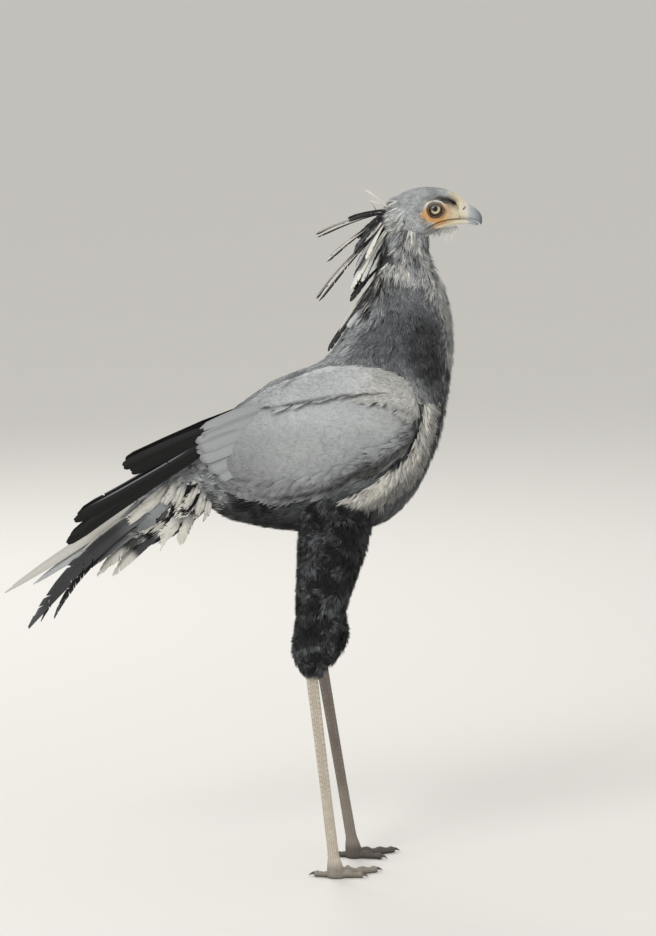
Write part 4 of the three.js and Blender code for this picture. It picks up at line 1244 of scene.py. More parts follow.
# The legs' bare skin: shanks with scutes before and behind, and toes with plates above and pads below
legs = {  # hock and ankle x, z, the turn of each toe in degrees, and half widths from the hock downwards
    "right": {"hock": (104, 340), "ankle": (142, 20),
              "toes": {"middle": 29, "outer": -2, "inner": 62, "hind": 167}},
    "left": {"hock": (119, 328), "ankle": (170.8, 20),
             "toes": {"middle": 28, "outer": 52, "inner": -15, "hind": 168}},
    "spread": 68,
    "deep": [9.2, 8.4, 8, 8.6, 11.88, 14.3],
    "slim": [7.2, 6.4, 6.2, 7, 10.368, 12.48],
    "heelDrop": 22,
    "scutePitch": 8.2,
    "scuteRise": 0.45,
}
toeSizes = {  # length, root and tip radius, length of the claw, number of joints
    "middle": (75, 8.2, 5.4, 18, 3),
    "outer": (44, 7.6, 5, 14, 2),
    "inner": (48, 7.6, 5, 15, 2),
    "hind": (32, 6.6, 4.6, 15, 1),
}


def legLine(name):  # hock, ankle and the way from the one to the other
    x, z = np.array([legs[name]["hock"], legs[name]["ankle"]], float).T
    hock, ankle = np.stack([x, np.full(2, sides[name] * legs["spread"], float), z], -1)
    return hock, ankle, unit(ankle - hock)


def toeLine(name, toe):  # the point on the ground under the ankle, and the way along the toe
    turn = math.radians(legs[name]["toes"][toe])
    start = np.array([legs[name]["ankle"][0], sides[name] * legs["spread"], 0.0])
    return start, np.array([math.cos(turn), math.sin(turn), 0])


def toeRelief(along, angle, pitch, rise):
    # thick plates over the toe like rings of a cuff, and pads with creases under it
    top = 1 - smooth(np.abs(angle), 1.7, 2.3)
    step = along / pitch
    plate = np.sin(math.pi * (step % 1)) ** 0.5 - 0.75
    pads = 0.6 * np.sin(math.pi * ((step * 0.5) % 1)) ** 0.7 - 0.3
    return rise * (top * plate + (1 - top) * pads)


def scuteGrooves(along, angle, pitch):  # 0 on a plate and 1 in the furrow round it
    # broad plates in front and behind, and ladders of small oblong ones on each side
    around = np.abs(angle)
    sideways = smooth(around, 0.9, 1.0) * (1 - smooth(around, 2.15, 2.25))
    column = np.floor(around / 0.42)
    cell = (around / 0.42) % 1
    small = (along / (pitch * 0.6) + 0.5 * (column % 2) + 0.25 * cell) % 1
    broad = (along / pitch) % 1
    across = np.exp(-(np.minimum(small, 1 - small) / 0.13) ** 2)
    between = np.exp(-(np.minimum(cell, 1 - cell) / 0.14) ** 2)
    rungs = np.exp(-(np.minimum(broad, 1 - broad) / 0.08) ** 2)
    return sideways * np.maximum(0.8 * across, between) + (1 - sideways) * rungs


def plateRelief(along, angle, pitch, rise):
    return rise * (0.3 - scuteGrooves(along, angle, pitch))


def limbSurface(centres, way, across, wide, high, relief):
    # rings round a straight or bent line of centres
    up = np.cross(way, across)

    def at(u, values):
        return np.interp(u, np.linspace(0, 1, len(values)), values)

    def place(u, v):
        angle = 2 * math.pi * v - math.pi
        centre = np.stack([at(u, centres[:, k]) for k in range(3)], -1)
        out = relief(u, angle)
        a, b = np.sin(angle) * (at(u, wide) + out), np.cos(angle) * (at(u, high) + out)
        point = centre + a[:, None] * across + b[:, None] * up
        point[:, 2] = np.maximum(point[:, 2], 0)
        return mm * point
    return place


def shankSkin(name):
    hock, ankle, way = legLine(name)
    length = np.linalg.norm(ankle - hock)
    reach = length + legs["heelDrop"]
    # the ankle's width eases in over the last part of the shank
    ease = np.array([0, length / 3, 2 * length / 3, length - 14, length, reach]) / reach
    slim, deep = (np.interp(np.linspace(0, 1, 60), ease, legs[key]) for key in ("slim", "deep"))
    centres = np.array([hock + way * reach * t for t in np.linspace(0, 1, 40)])

    def relief(u, angle):
        return plateRelief(u * reach, angle, legs["scutePitch"], legs["scuteRise"])
    place = limbSurface(centres, way, np.array([0, 1.0, 0]), slim, deep, relief)
    return wrapped(name + "Shank", place, 300, 44)


def toeSkin(name, toe):
    length, root, tip, _, joints = toeSizes[toe]
    start, way = toeLine(name, toe)
    across = np.array([-way[1], way[0], 0])
    spots = np.linspace(0, 1, 50)
    swell = 1 + 0.13 * np.cos(2 * math.pi * spots * joints)
    radius = (root + (tip - root) * np.minimum(1, 1.4 * spots)) * swell
    radius = radius * np.sqrt(np.clip(1 - smooth(spots, 0.86, 1.06) ** 2 * 0.9, 0.05, 1))
    lift = radius * 0.88 + 6 * (1 - smooth(spots, 0, 0.3))
    centres = start + way * (length * spots)[:, None] + np.array([0, 0, 1.0]) * lift[:, None]

    def relief(u, angle):
        return toeRelief(u * length, angle, 6.0, 1.1) * smooth(u, 0.1, 0.25)
    return wrapped(name + toe, limbSurface(centres, way, across, radius, radius, relief), 110, 36)


def clawPiece(name, toe):
    length, _, _, claw, _ = toeSizes[toe]
    start, way = toeLine(name, toe)
    across = np.array([-way[1], way[0], 0])
    reach = claw * 0.62 + 5
    spots = np.linspace(0, 1, 24)
    lift = 4.6 + 1.3 * np.sin(math.pi * np.minimum(spots * 0.9, 1)) - 3.6 * spots ** 2.2
    centres = start + way * (length - 5) + way * (reach * spots)[:, None]
    centres = centres + np.array([0, 0, 1.0]) * lift[:, None]
    thick = 2.9 * (1 - spots ** 1.6) ** 0.9 + 0.25
    place = limbSurface(centres, way, across, thick * 0.82, thick, lambda u, angle: 0 * u)
    piece = wrapped("claw_" + name + "_" + toe + "_horn", place, 40, 20)
    finishPiece(piece, paints["claw"], "claw_horn", ["claw_" + name + "_" + toe])
    bpy.ops.object.shade_smooth()


legTonesAndShade = {  # the plates' two tones, with the far left leg's painted in shade; how dark the toes are, which is painted shade near the ground; and how light the ankle is
    "right": {"plain": "#b9ac9c", "pale": "#cfc6b8", "toes": 0.52, "ankle": 0},
    "left": {"plain": "#6b6159", "pale": "#837a71", "toes": 0.6, "ankle": 0.55},
}


def legTone(name):
    looks = legTonesAndShade[name]
    plain, pale = linear(looks["plain"]), linear(looks["pale"])
    hock, _, way = legLine(name)

    def tone(points):
        along = (points / mm - hock) @ way
        off = points / mm - hock - along[:, None] * way
        angle = np.arctan2(off[:, 1] * -sides[name], off[:, 0])
        low = smooth(along, 190, 240)
        grooves = scuteGrooves(along, angle, legs["scutePitch"]) * (1 - 0.8 * low)
        lines = np.exp(-((((angle * 2.1 + 0.1 * mottle(points, 25, 8)) % 1) - 0.5) / 0.12) ** 2) * low
        base = toward(plain, 0.6 * mottle(points, 9, 6) + 0.4 * mottle(points, 2.5, 7), pale)
        base = toward(base, looks["ankle"] * low, pale * 1.3)
        # painted shade near the ground: the toes darker below 3 cm, and the soles darker still
        toes = 1 - looks["toes"] * (1 - smooth(points[:, 2], 0.012, 0.03))
        soleShade = 1 - 0.45 * (1 - smooth(points[:, 2], 0.0, 0.007))
        furrows = 1 - 0.5 * np.maximum(grooves, 0.8 * lines) * smooth(points[:, 2], 0.016, 0.03)
        return base * (toes * soleShade * furrows)[:, None]
    return tone


def buildLeg(name):
    leg = joined(name + "LegSkin", [shankSkin(name), *(toeSkin(name, toe) for toe in toeSizes)])
    applied(leg, "REMESH", mode="VOXEL", voxel_size=grain["leg"])
    applied(leg, "SMOOTH", factor=0.4, iterations=1)
    paintVertices(leg, legTone(name))
    bpy.ops.object.shade_smooth()
    finishPiece(leg, paints["leg"], "leg_scales", ["shank_" + name, "foot_" + name])
    for toe in toeSizes:
        clawPiece(name, toe)


# Bill: two lofted halves with the cere's step, a nostril slit on each side and a hooked tip
bills = {
    "upper": {
        "sections": [
            [334.4, 1053.2, 331.6, 1019.7, 13.2],
            [341, 1047, 340, 1019.6, 11],
            [350, 1040.5, 349.5, 1018.4, 8.8],
            [358.5, 1034.8, 356.5, 1016.8, 6.6],
            [365, 1028.5, 361.5, 1014.8, 4.6],
            [368.4, 1021, 364.6, 1012.6, 2.8],
            [368.6, 1013, 366.6, 1009.4, 1.1],
        ],
        "power": 2,
        "taper": 0.45,
    },
    "lower": {
        "sections": [
            [289, 1008.6, 290, 1002, 19.5],
            [302, 1014.4, 303, 1003.8, 20.3],
            [315, 1018, 316, 1007.4, 17.4],
            [329, 1019, 329, 1009.9, 13.6],
            [345, 1018.2, 345, 1010.4, 9],
            [356, 1015.8, 356, 1009.4, 6],
            [363.2, 1012.6, 362.8, 1008.2, 2.8],
        ],
        "power": 2.6,
        "taper": -0.1,
    },
    "nostril": {"centre": (341, 10.2, 1036), "radii": (4.9, 5, 1.5), "tilt": 0.78},
}


def buildBill():
    headLike = dict(bills["upper"], taper=headForm["taper"], power=headForm["power"])

    def upperPlace(u, v):
        row, angle = 6.12 * u - 0.12, 2 * math.pi * v
        cere = 0.45 * (1 - smooth(row, 1.7, 2.1)) * smooth(row, 0.1, 0.5)
        root = onForm(headLike, row, angle, cere)
        horn = onForm(bills["upper"], row, angle, cere)
        return root + smooth(row, 0.0, 1.8)[:, None] * (horn - root)
    upper = wrapped("billUpper", upperPlace, 90, 72)
    for side in sides.values():
        x, y, z = bills["nostril"]["centre"]
        deselectAll()
        bpy.ops.mesh.primitive_uv_sphere_add(
            segments=32, ring_count=16, radius=mm, location=(x * mm, side * y * mm, z * mm),
            rotation=(0, -bills["nostril"]["tilt"], 0))
        slit = bpy.context.object
        slit.scale = bills["nostril"]["radii"]
        applied(upper, "BOOLEAN", operation="DIFFERENCE", object=slit, solver="EXACT")
        bpy.data.objects.remove(slit)
    lower = wrapped("billLower", lambda u, v: onForm(bills["lower"], 6 * u, 2 * math.pi * v, -0.2), 90, 60)
    for piece, node in ((upper, "bill_upper"), (lower, "bill_lower")):
        makeActive(piece)
        bpy.ops.object.shade_smooth_by_angle(angle=math.radians(50))
        finishPiece(piece, paints["bill"], "bill_horn", [node])


def buildEye(name, side):
    x, y, z = eyes["centre"]
    deselectAll()
    bpy.ops.mesh.primitive_uv_sphere_add(
        segments=64, ring_count=40, radius=eyes["radius"] * mm, location=(x * mm, side * y * mm, z * mm),
        rotation=(math.pi / 2, 0, 0))
    ball = bpy.context.object
    ball.name = name + "Eye"
    bpy.ops.object.transform_apply(location=True, rotation=True, scale=True)
    bpy.ops.object.shade_smooth()
    finishPiece(ball, paints["eye"], "eye", ["eye_" + name])


skin = buildSkin()
paintVertices(skin, skinTone)
makeActive(skin)
bpy.ops.object.shade_smooth()
finishPiece(skin, paints["skin"], "black_feathers", ["torso", "neck", "thigh_right", "thigh_left"])
print("stage: skin", len(skin.data.polygons))
head = buildHead()
paintVertices(head, headTone)
makeActive(head)
bpy.ops.object.shade_smooth()
finishPiece(head, paints["face"], "face_skin", ["head"])
print("stage: head", len(head.data.polygons))
buildBristles()
for sideName, sideSign in sides.items():
    buildEye(sideName, sideSign)
    buildLeg(sideName)
buildBill()
print("stage: bare parts built")


# The ways in which small feathers can lie: byRow points from the tail towards the head
def towardsTail(points, byRow):
    return -byRow


def downwards(points, byRow):
    return byRow


def headLie(points, byRow):  # backwards, and downwards on the nape and the cheeks
    drop = 1 - smooth(points[:, 0], 0.236, 0.275)
    return unit(-byRow) + drop[:, None] * np.array([-0.4, 0, -1.6])


def besideWing(points):  # no feathers grow where the wings cover the body
    x, z = sideView(points)
    inside = (x > -20) & (x < 245) & (z > 650) & (z < 740) & (np.abs(points[:, 1]) > 0.05)
    return np.where(inside, 0.0, 1.0)


coats = {
    "body": {"rows": (0, 7.4), "gap": 5.4, "length": 27, "half": 5.6, "rise": 2.6, "cup": 0.5, "curl": 2.0,
             "turn": 0.2, "swirl": 0.7, "loose": 1.0, "tip": 0.15, "shade": 0.13, "streak": 0.13},
    "neck": {"rows": (7.2, 14.7), "gap": 4.0, "length": 22, "half": 3.0, "rise": 2.2, "cup": 0.3,
             "curl": 1.8, "turn": 0.22, "swirl": 1.1, "loose": 1.0, "tip": 0.2, "shade": 0.17,
             "streak": 0.16},
    "head": {"rows": (0.1, 7.9), "gap": 2.0, "length": 7.5, "half": 1.25, "rise": 0.5, "cup": 0.1,
             "curl": 0.3, "turn": 0.15, "swirl": 0.6, "loose": 0.25, "tip": 0.1, "shade": 0.08,
             "streak": 0.1},
    "thigh": {"rows": (0, 7.7), "gap": 4.1, "length": 17, "half": 3.2, "rise": 2.4, "cup": 0.3, "curl": 3.0,
              "turn": 0.4, "swirl": 2.6, "loose": 1.3, "tip": 0.7, "shade": 0.25, "streak": 0.28},
}
looksOfFeathers = ("length", "half", "rise", "cup", "curl", "turn", "swirl", "vary", "loose", "tip", "shade",
                   "streak", "local")


def growTract(surface, u, v, draw, shape, lie, depth, tone, size, **changed):
    looks = {key: size[key] for key in looksOfFeathers if key in size}
    looks.update(changed)
    return growCoat(surface, u, v, draw, shape, lie=lie, depth=depth, tone=tone, **looks)


def growBody():
    draw = np.random.default_rng(11)
    for name, shape, slot, keep in (("body", "down", "black_feathers", besideWing),
                                    ("neck", "hackle", "grey_feathers", None)):
        size = coats[name]
        u, v = spread(bodySurface, size["rows"], fullTurn, size["gap"], draw, keep)
        batch = growTract(bodySurface, u, v, draw, shape, towardsTail, bodyDepth(u), bodyTone, size)
        coatPiece(name + "Coat", [batch], paints["down"], slot)


def lidShare(points):  # 1 on the smooth bright fold over the eye, which carries no feathers
    reach, turn = eyeReach(*sideView(points))
    return (1 - smooth(reach, 17.0, 18.0)) * smooth(np.sin(turn - 0.15), -0.75, -0.35)


def featheredFace(points):
    return (1 - smooth(bareShare(points), 0.2, 0.8)) * (1 - lidShare(points))


def growHead():
    draw = np.random.default_rng(12)
    size = coats["head"]
    u, v = spread(headSurface, size["rows"], fullTurn, size["gap"], draw, featheredFace)
    nape = 1 - smooth(u, 0.5, 3)
    batch = growTract(headSurface, u, v, draw, "plush", headLie, coatDepth["head"], headTone, size,
                      length=size["length"] * (1 + 1.6 * nape - 0.25 * smooth(u, 4, 8)),
                      rise=size["rise"] * (1 + 2.5 * nape))
    coatPiece("headCoat", [batch], paints["down"], "grey_feathers")


def growThigh(name):
    draw = np.random.default_rng(13 + sides[name])
    size = coats["thigh"]
    surface = thighSurfaces[name]
    u, v = spread(surface, size["rows"], fullTurn, size["gap"], draw)
    batch = growTract(surface, u, v, draw, "down", downwards, thighDepth(u), thighTone, size)
    coatPiece(name + "ThighCoat", [batch], paints["down"], "black_feathers")


wingLooks = {"rise": 0.08, "cup": 0.05, "curl": 0.1, "turn": 0.07, "swirl": 0.15, "loose": 0.08, "tip": 0.03,
             "shade": 0.022, "streak": 0.025, "local": 0.85}
wingTracts = {  # where each tract's feathers root, and what sets it apart from the others
    "panel": {"rows": (0.1, 9.6), "shares": (0.1, 0.97), "over": None, "gap": 7.5, "length": 42, "half": 9.5},
    "edge": {"rows": (0.7, 9.3), "shares": (0.84, 0.97), "over": None, "gap": 7.5, "length": 38,
             "half": 7.0, "rise": 4.0, "cup": 1.4, "curl": 1.5, "turn": 0.14, "swirl": 0.3, "loose": 0.6,
             "tip": 0.4, "shade": 0.12, "streak": 0.06, "local": 0.8},
    "scapular": {"rows": (0.4, 9.6), "shares": (0.0, 0.5), "over": "scapular", "gap": 6.5, "length": 34,
                 "half": 7.0},
    "shoulder": {"rows": (0.2, 3.6), "shares": (0.0, 0.6), "over": "shoulder", "gap": 3.8, "length": 15,
                 "half": 3.2, "rise": 1.0, "cup": 0.4, "curl": 0.8, "turn": 0.22, "swirl": 0.7,
                 "loose": 0.6, "tip": 0.1, "shade": 0.07, "streak": 0.08, "local": 0.3},
}


def wingLie(points, byRow):  # backwards, and more and more downwards in the lower third
    x, z = sideView(points)
    low = 1 - smooth(sideOf(x, z, [(-60, 640), (60, 605), (176, 645), (270, 712)]), 0, 75)
    low = low * (1 - smooth(x, 150, 240))
    front = smooth(x, 215, 265)
    way = np.array([-1, 0, -0.22]) + low[:, None] * np.array([0.25, 0, -0.45])
    return way + front[:, None] * np.array([0.1, 0, -0.25])


def tractShare(name, points):  # how surely a root at these places belongs to the tract
    x, z = sideView(points)
    scapular = sideOf(x, z, wingFolds["scapular"]["line"][::-1])
    shoulder = sideOf(x, z, wingFolds["shoulder"]["line"][::-1])
    inShoulder = smooth(x, 170, 200)
    if name == "scapular":
        return smooth(scapular, 3, 6) * foldShare(x - 12, wingFolds["scapular"])
    if name == "shoulder":
        return smooth(shoulder, 1, 4) * inShoulder * (1 - smooth(scapular, 2, 6) * (1 - smooth(x, 195, 235)))
    if name == "panel":
        onTop = smooth(scapular, 6, 10) * foldShare(x - 12, wingFolds["scapular"])
        return 1 - np.maximum(onTop, inShoulder * smooth(shoulder, 3, 6))
    return np.ones(len(x))


def growWing(name, side):
    draw = np.random.default_rng(17 + side)
    batches = []
    for tractName, changed in wingTracts.items():
        tract = dict(wingLooks, **changed)
        surface = wingSurfaces[(name, tract["over"])]
        u, v = spread(surface, tract["rows"], tract["shares"], tract["gap"], draw,
                      lambda points: tractShare(tractName, points))
        onShoulder = tractName == "shoulder"
        small = 1 - 0.3 * (1 - smooth(u, 0.0, 1.6)) * (not onShoulder)
        batches.append(growTract(surface, u, v, draw, "down" if onShoulder else "broad", wingLie,
                                 coatDepth["wing"], wingTone, tract,
                                 length=tract["length"] * small, half=tract["half"] * small))
    coatPiece(name + "WingCoverts", batches, paints["covert"], "pale_feathers", ["wing_" + name])


flankBand = {
    "rows": (3, 8), "width": 14, "gap": 3.1, "length": 21, "half": 3.4, "rise": 9, "cup": 0.8, "curl": 4.0,
    "turn": 0.25, "swirl": 0.8, "loose": 1.2, "tip": 0.2, "shade": 0.1, "streak": 0.12, "local": 0.75,
}


def onFlank(points):
    x, z = sideView(points)
    width = flankBand["width"] * (1 - 0.45 * smooth(z, 640, 700))
    share = 1 - smooth(gapTo(x, z, flankLine), width * 0.8, width)
    return share * (sideOf(x, z, wingEdge) < -3) * (gapTo(x, z, wingEdge) > 5)


def flankLie(points, byRow):
    along = smooth(points[:, 0] / mm, 150, 280)
    return np.stack([-0.85 + 0.85 * along, 0 * along, -0.5 - 0.5 * along], -1)


def flankTone(points):
    x, z = sideView(points)
    pale = toward(tones["grey"], np.clip(0.35 + 0.8 * mottle(points, 12, 51), 0, 1), tones["white"])
    # painted shade on the roll's lower side, away from its line
    low = smooth(sideOf(x, z, flankLine[::-1]), -14, -2)
    pale = toward(pale, 0.75 * (1 - low) * smooth(gapTo(x, z, flankLine), 5, 15), tones["dark"])
    # painted shadow along the wing's lower edge
    return toward(pale, 0.85 * (1 - smooth(gapTo(x, z, wingEdge), 3, 7)), tones["dark"])


def growFlanks():  # the pale loose feathers of the breast's side, which lie over the wing's front edge
    draw = np.random.default_rng(19)
    u, v = spread(bodySurface, flankBand["rows"], fullTurn, flankBand["gap"], draw, onFlank)
    batch = growTract(bodySurface, u, v, draw, "down", flankLie, 1.0, flankTone, flankBand)
    coatPiece("flankCoat", [batch], paints["down"], "grey_feathers")


hackles = {  # loose long feathers over the neck's coat: the collar's line, the nape and the throat
    "collar": {"line": [(226, 952), (252, 957), (276, 950), (296, 924), (313, 884), (321, 840), (319, 815)],
               "width": 8, "gap": 2.3, "length": 21, "half": 1.4, "rise": 4.5, "loose": 1.6, "pale": 0.85},
    "nape": {"line": [(214, 1000), (206, 960), (206, 925), (190, 890)],
             "width": 13, "gap": 2.8, "length": 30, "half": 1.6, "rise": 6.0, "loose": 2.2, "pale": 0.4},
    "throat": {"line": [(256, 996), (262, 978), (268, 955)],
               "width": 19, "gap": 2.6, "length": 22, "half": 1.4, "rise": 4.5, "loose": 1.8, "pale": 0.68},
    "fringe": {"line": [(310, 905), (321, 860), (324, 815)],
               "width": 8, "gap": 2.6, "length": 18, "half": 1.2, "rise": 5.0, "loose": 1.6, "pale": 0.8},
    "front": {"line": [(316, 800), (313, 740), (304, 690)],
              "width": 11, "gap": 3.6, "length": 22, "half": 1.7, "rise": 3.5, "loose": 1.8, "pale": 0.35},
}
manes = {  # long hackles that leave the back of the head and hide where it meets the neck and the crest
    "top": {"line": [(238, 1053), (228, 1044)], "way": (-1.0, -0.12),
            "width": 9, "gap": 2.6, "length": 26, "half": 1.5, "rise": 4.0, "pale": 0.85},
    "middle": {"line": [(224, 1040), (219, 1022), (222, 1006)], "way": (-0.9, -0.45),
               "width": 8, "gap": 2.6, "length": 36, "half": 1.7, "rise": 7.0, "pale": 0.18},
    "cheek": {"line": [(246, 1030), (238, 1016), (242, 1002), (254, 994)], "way": (-0.75, -0.66),
              "width": 13, "gap": 2.1, "length": 38, "half": 1.8, "rise": 5.0, "pale": 0.82},
    "ruff": {"line": [(230, 1002), (248, 992), (268, 990), (286, 998)], "way": (-0.3, -0.95),
             "width": 8, "gap": 2.2, "length": 21, "half": 1.4, "rise": 3.0, "pale": 0.5},
    "under": {"line": [(262, 1000), (276, 996)], "way": (-0.3, -0.9),
              "width": 8, "gap": 2.6, "length": 18, "half": 1.4, "rise": 2.5, "pale": 0.12},
}
hackleLooks = {"rows": (4.5, 14.8), "cup": 0.3, "curl": 3.5, "turn": 0.28, "swirl": 0.9, "vary": 0.35,
               "shade": 0.12, "streak": 0.12}
maneLooks = dict(hackleLooks, rows=(0.0, 5.0), curl=4.0, turn=0.22, swirl=0.8, loose=1.8)


def hackleTone(pale):
    def tone(points):
        bright = toward(tones["light"], smooth(mottle(points, 3, 62), 0.4, 0.8), tones["white"])
        return toward(tones["dark"], smooth(mottle(points, 5, 61) - 0.5 + pale, 0.3, 0.7), bright)
    return tone


def hackleLie(points, byRow):
    return unit(-byRow) + np.array([-0.15, 0, -0.5])


def growLocks(surface, draw, tract, lie, depth):  # hackles that root near the tract's line
    def keep(points):
        gap = gapTo(*sideView(points), tract["line"])
        return 0.9 * (1 - smooth(gap, tract["width"] * 0.6, tract["width"]))
    u, v = spread(surface, tract["rows"], fullTurn, tract["gap"], draw, keep)
    return growTract(surface, u, v, draw, "hackle", lie, depth, hackleTone(tract["pale"]), tract)


def growHackles():
    draw = np.random.default_rng(43)
    batches = []
    for tract in hackles.values():
        batches.append(growLocks(bodySurface, draw, dict(hackleLooks, **tract), hackleLie, depth=3.0))
    for tract in manes.values():
        way = np.array([tract["way"][0], 0, tract["way"][1]])
        batches.append(growLocks(headSurface, draw, dict(maneLooks, **tract),
                                 lambda points, byRow: way + 0 * points, coatDepth["head"]))
    coatPiece("neckHackles", batches, paints["down"], "grey_feathers")


undertail = {  # the tail's base, and the barred tiers under it: row of their roots, length and half width
    "base": {"rows": (0, 3.6), "gap": 6.5, "length": 30, "half": 6, "rise": 1.5},
    "tiers": [(0.1, 44, 8.5), (0.6, 44, 8.5), (1.1, 44, 8), (1.6, 44, 7.5), (2.1, 46, 7), (2.6, 46, 6.5)],
    "looks": {"rise": 3.0, "cup": 1.0, "curl": 2.0, "turn": 0.12, "swirl": 0.4, "loose": 0.9, "tip": 0.3,
              "shade": 0.1, "streak": 0.08},
}


def growTailBase():
    draw = np.random.default_rng(20)
    size = dict(undertail["looks"], **undertail["base"])
    u, v = spread(tailSurface, size["rows"], fullTurn, size["gap"], draw)
    batches = [growTract(tailSurface, u, v, draw, "broad", downwards, coatDepth["tail"], tailTone, size)]
    around = np.linspace(1.3, math.pi, 9)
    for row, length, half in undertail["tiers"]:
        v = np.concatenate([around, -around[:-1]])
        v = v + draw.normal(0, 0.05, len(v))
        u = row + 0.12 * draw.normal(size=len(v))
        batches.append(growTract(tailSurface, u, v, draw, "broad", downwards, 0.5, tailTone,
                                 undertail["looks"], length=length, half=half))
    coatPiece("tailBaseCoat", batches, paints["covert"], "tail_feathers")


growBody()
growHead()
growFlanks()
growHackles()
growTailBase()
for sideName, sideSign in sides.items():
    growThigh(sideName)
    growWing(sideName, sideSign)
print("stage: small feathers grown")


# Outlines of large feathers: shares of the length, and of the half width there
flightOutline = [(0, 0.5), (0.25, 0.9), (0.6, 1), (0.88, 0.95), (0.96, 0.7), (0.99, 0.4), (1, 0.2)]
flightRows = [  # root x, z, tip x, z, half width, distance from the middle at root and tip, upward bow
    [-11, 716, -182, 641, 9.5, 54, 46, 1],
    [-12, 708, -170, 633, 9.5, 53, 45, 0],
    [-12, 705, -253, 562, 8.5, 53, 43, -5],
    [-16, 698, -262, 540, 8.5, 51, 42, 1],
    [-18, 692, -270, 521, 8.5, 50, 41, 5],
]
tertialOutline = [(0, 0.7), (0.5, 1), (0.8, 0.95), (0.92, 0.7), (1, 0.25)]
tertialRows = [  # the pale lobes over the flight feathers' roots, written in the same way
    [66, 738, -60, 690, 17, 56, 53, 4],
    [62, 724, -66, 676, 19, 56.6, 53.4, 3],
    [56, 708, -64, 660, 19, 57, 53.7, 2],
    [50, 692, -52, 643, 18, 57.2, 54, 1],
    [44, 678, -36, 628, 15, 57, 54, 1],
]


def flightTone(side, shine, rim):  # black, with a lighter outer rim on the feather that shows one
    black = tones["black"] * 0.08 * shine

    def colour(t, x):
        upper = smooth(x * side, 0.86, 0.98) * smooth(t, 0.25, 0.4) * (1 - smooth(t, 0.75, 0.95))
        return black + rim * upper * (tones["light"] - black)
    return colour


def tertialTone(t, x):
    shaft = np.exp(-(x / 0.05) ** 2)
    # painted shade along the lobe's edges and over its tip
    edge = 1 - 0.12 * smooth(np.abs(x), 0.9, 1.0) - 0.3 * smooth(t, 0.96, 1.0)
    vane = (tones["pale"] * 0.22 + tones["light"] * 0.5) * edge
    return vane + 0.35 * shaft * (tones["slate"] - vane)


def buildFlight(name, side):
    draw = np.random.default_rng(23 + side)
    drop, sunk = (3, 10) if side > 0 else (0, 0)  # the far side's feathers lie a little lower
    plumes = []
    for order in (0, 0.5, 1, 2, 2.15, 3.75, 3.85, 4):
        rootX, rootZ, tipX, tipZ, half, rootOut, tipOut, bow = sectionAt(flightRows, np.array(order))
        root = np.array([rootX, side * rootOut, rootZ])
        tip = np.array([tipX, side * tipOut, tipZ - drop])
        middle = (root + tip) / 2 + [0, 0, bow - drop / 2]
        colour = flightTone(side, 1 + 0.3 * draw.uniform(), 0.6 if order == 2 else 0.03)
        plumes.append(plume((root, middle, tip), np.array([0, float(side), 0]), half, flightOutline, colour,
                            draw, part=0.012, fray=0.008))
    plumePiece(name + "FlightFeathers", plumes, paints["flight"], "flight_feathers", ["flight_" + name])
    lobes = []
    for rootX, rootZ, tipX, tipZ, half, rootOut, tipOut, bow in tertialRows:
        root = np.array([rootX, side * rootOut, rootZ - sunk])
        tip = np.array([tipX, side * tipOut, tipZ - sunk])
        middle = (root + tip) / 2 + [0, side * 2.2, bow]
        lobes.append(plume((root, middle, tip), np.array([0, float(side), 0.08]), half, tertialOutline,
                           tertialTone, draw, strips=60, part=0.004, fray=0.004, cup=0.0, shaft=0.2))
    plumePiece(name + "Tertials", lobes, paints["flight"], "pale_feathers")


tailRows = {  # root x, z, middle x, z, tip x, z, distance from the middle, half width, what it looks like
    "right": [
        [-92, 596, -217, 519, -333, 385, 17, 16, "dark"],
        [-92, 624, -232, 529, -371, 436, -4, 10, "long"],
        [-92, 610, -212, 530, -326, 450, 0, 10, "pale"],
        [-150, 560, -250, 486, -314, 394, 16.4, 7, "dark"],
        [-150, 556, -240, 480, -294, 399, 15.8, 7, "dark"],
        [-84, 594, -165, 554, -245, 488, 9, 13, "banded"],
        [-80, 588, -155, 538, -226, 466, 11, 13, "banded"],
        [-76, 582, -143, 527, -202, 466, 13, 13, "banded"],
        [-86, 600, -180, 530, -262, 462, 10, 11, "grey"],
    ],
    "left": [
        [-84, 606, -166, 540, -240, 474, 10, 13, "banded"],
        [-80, 598, -156, 530, -218, 470, 15, 13, "banded"],
        [-76, 590, -144, 526, -196, 476, 19, 13, "banded"],
        [-88, 608, -190, 540, -290, 450, 6, 11, "grey"],
    ],
}
undertailPlumes = [  # the larger undertail coverts: root x, z, tip x, z, half width, what they look like
    [-100, 592, -160, 540, 9, "grey"], [-92, 574, -128, 522, 9, "tuft"], [-78, 566, -98, 518, 9, "tuft"],
    [-122, 600, -176, 556, 8, "tuft"], [-112, 606, -160, 570, 7, "tuft"],
    [-108, 618, -146, 578, 7, "barred"], [-94, 622, -122, 582, 6.5, "barred"],
    [-80, 622, -104, 580, 6.5, "barred"], [-68, 616, -88, 574, 6.5, "barred"],
    [-56, 608, -72, 568, 6.5, "barred"], [-46, 600, -57, 562, 6.5, "barred"],
]
undertailLocks = {"each": 7, "spread": 3.6, "half": 0.55, "least": 19}


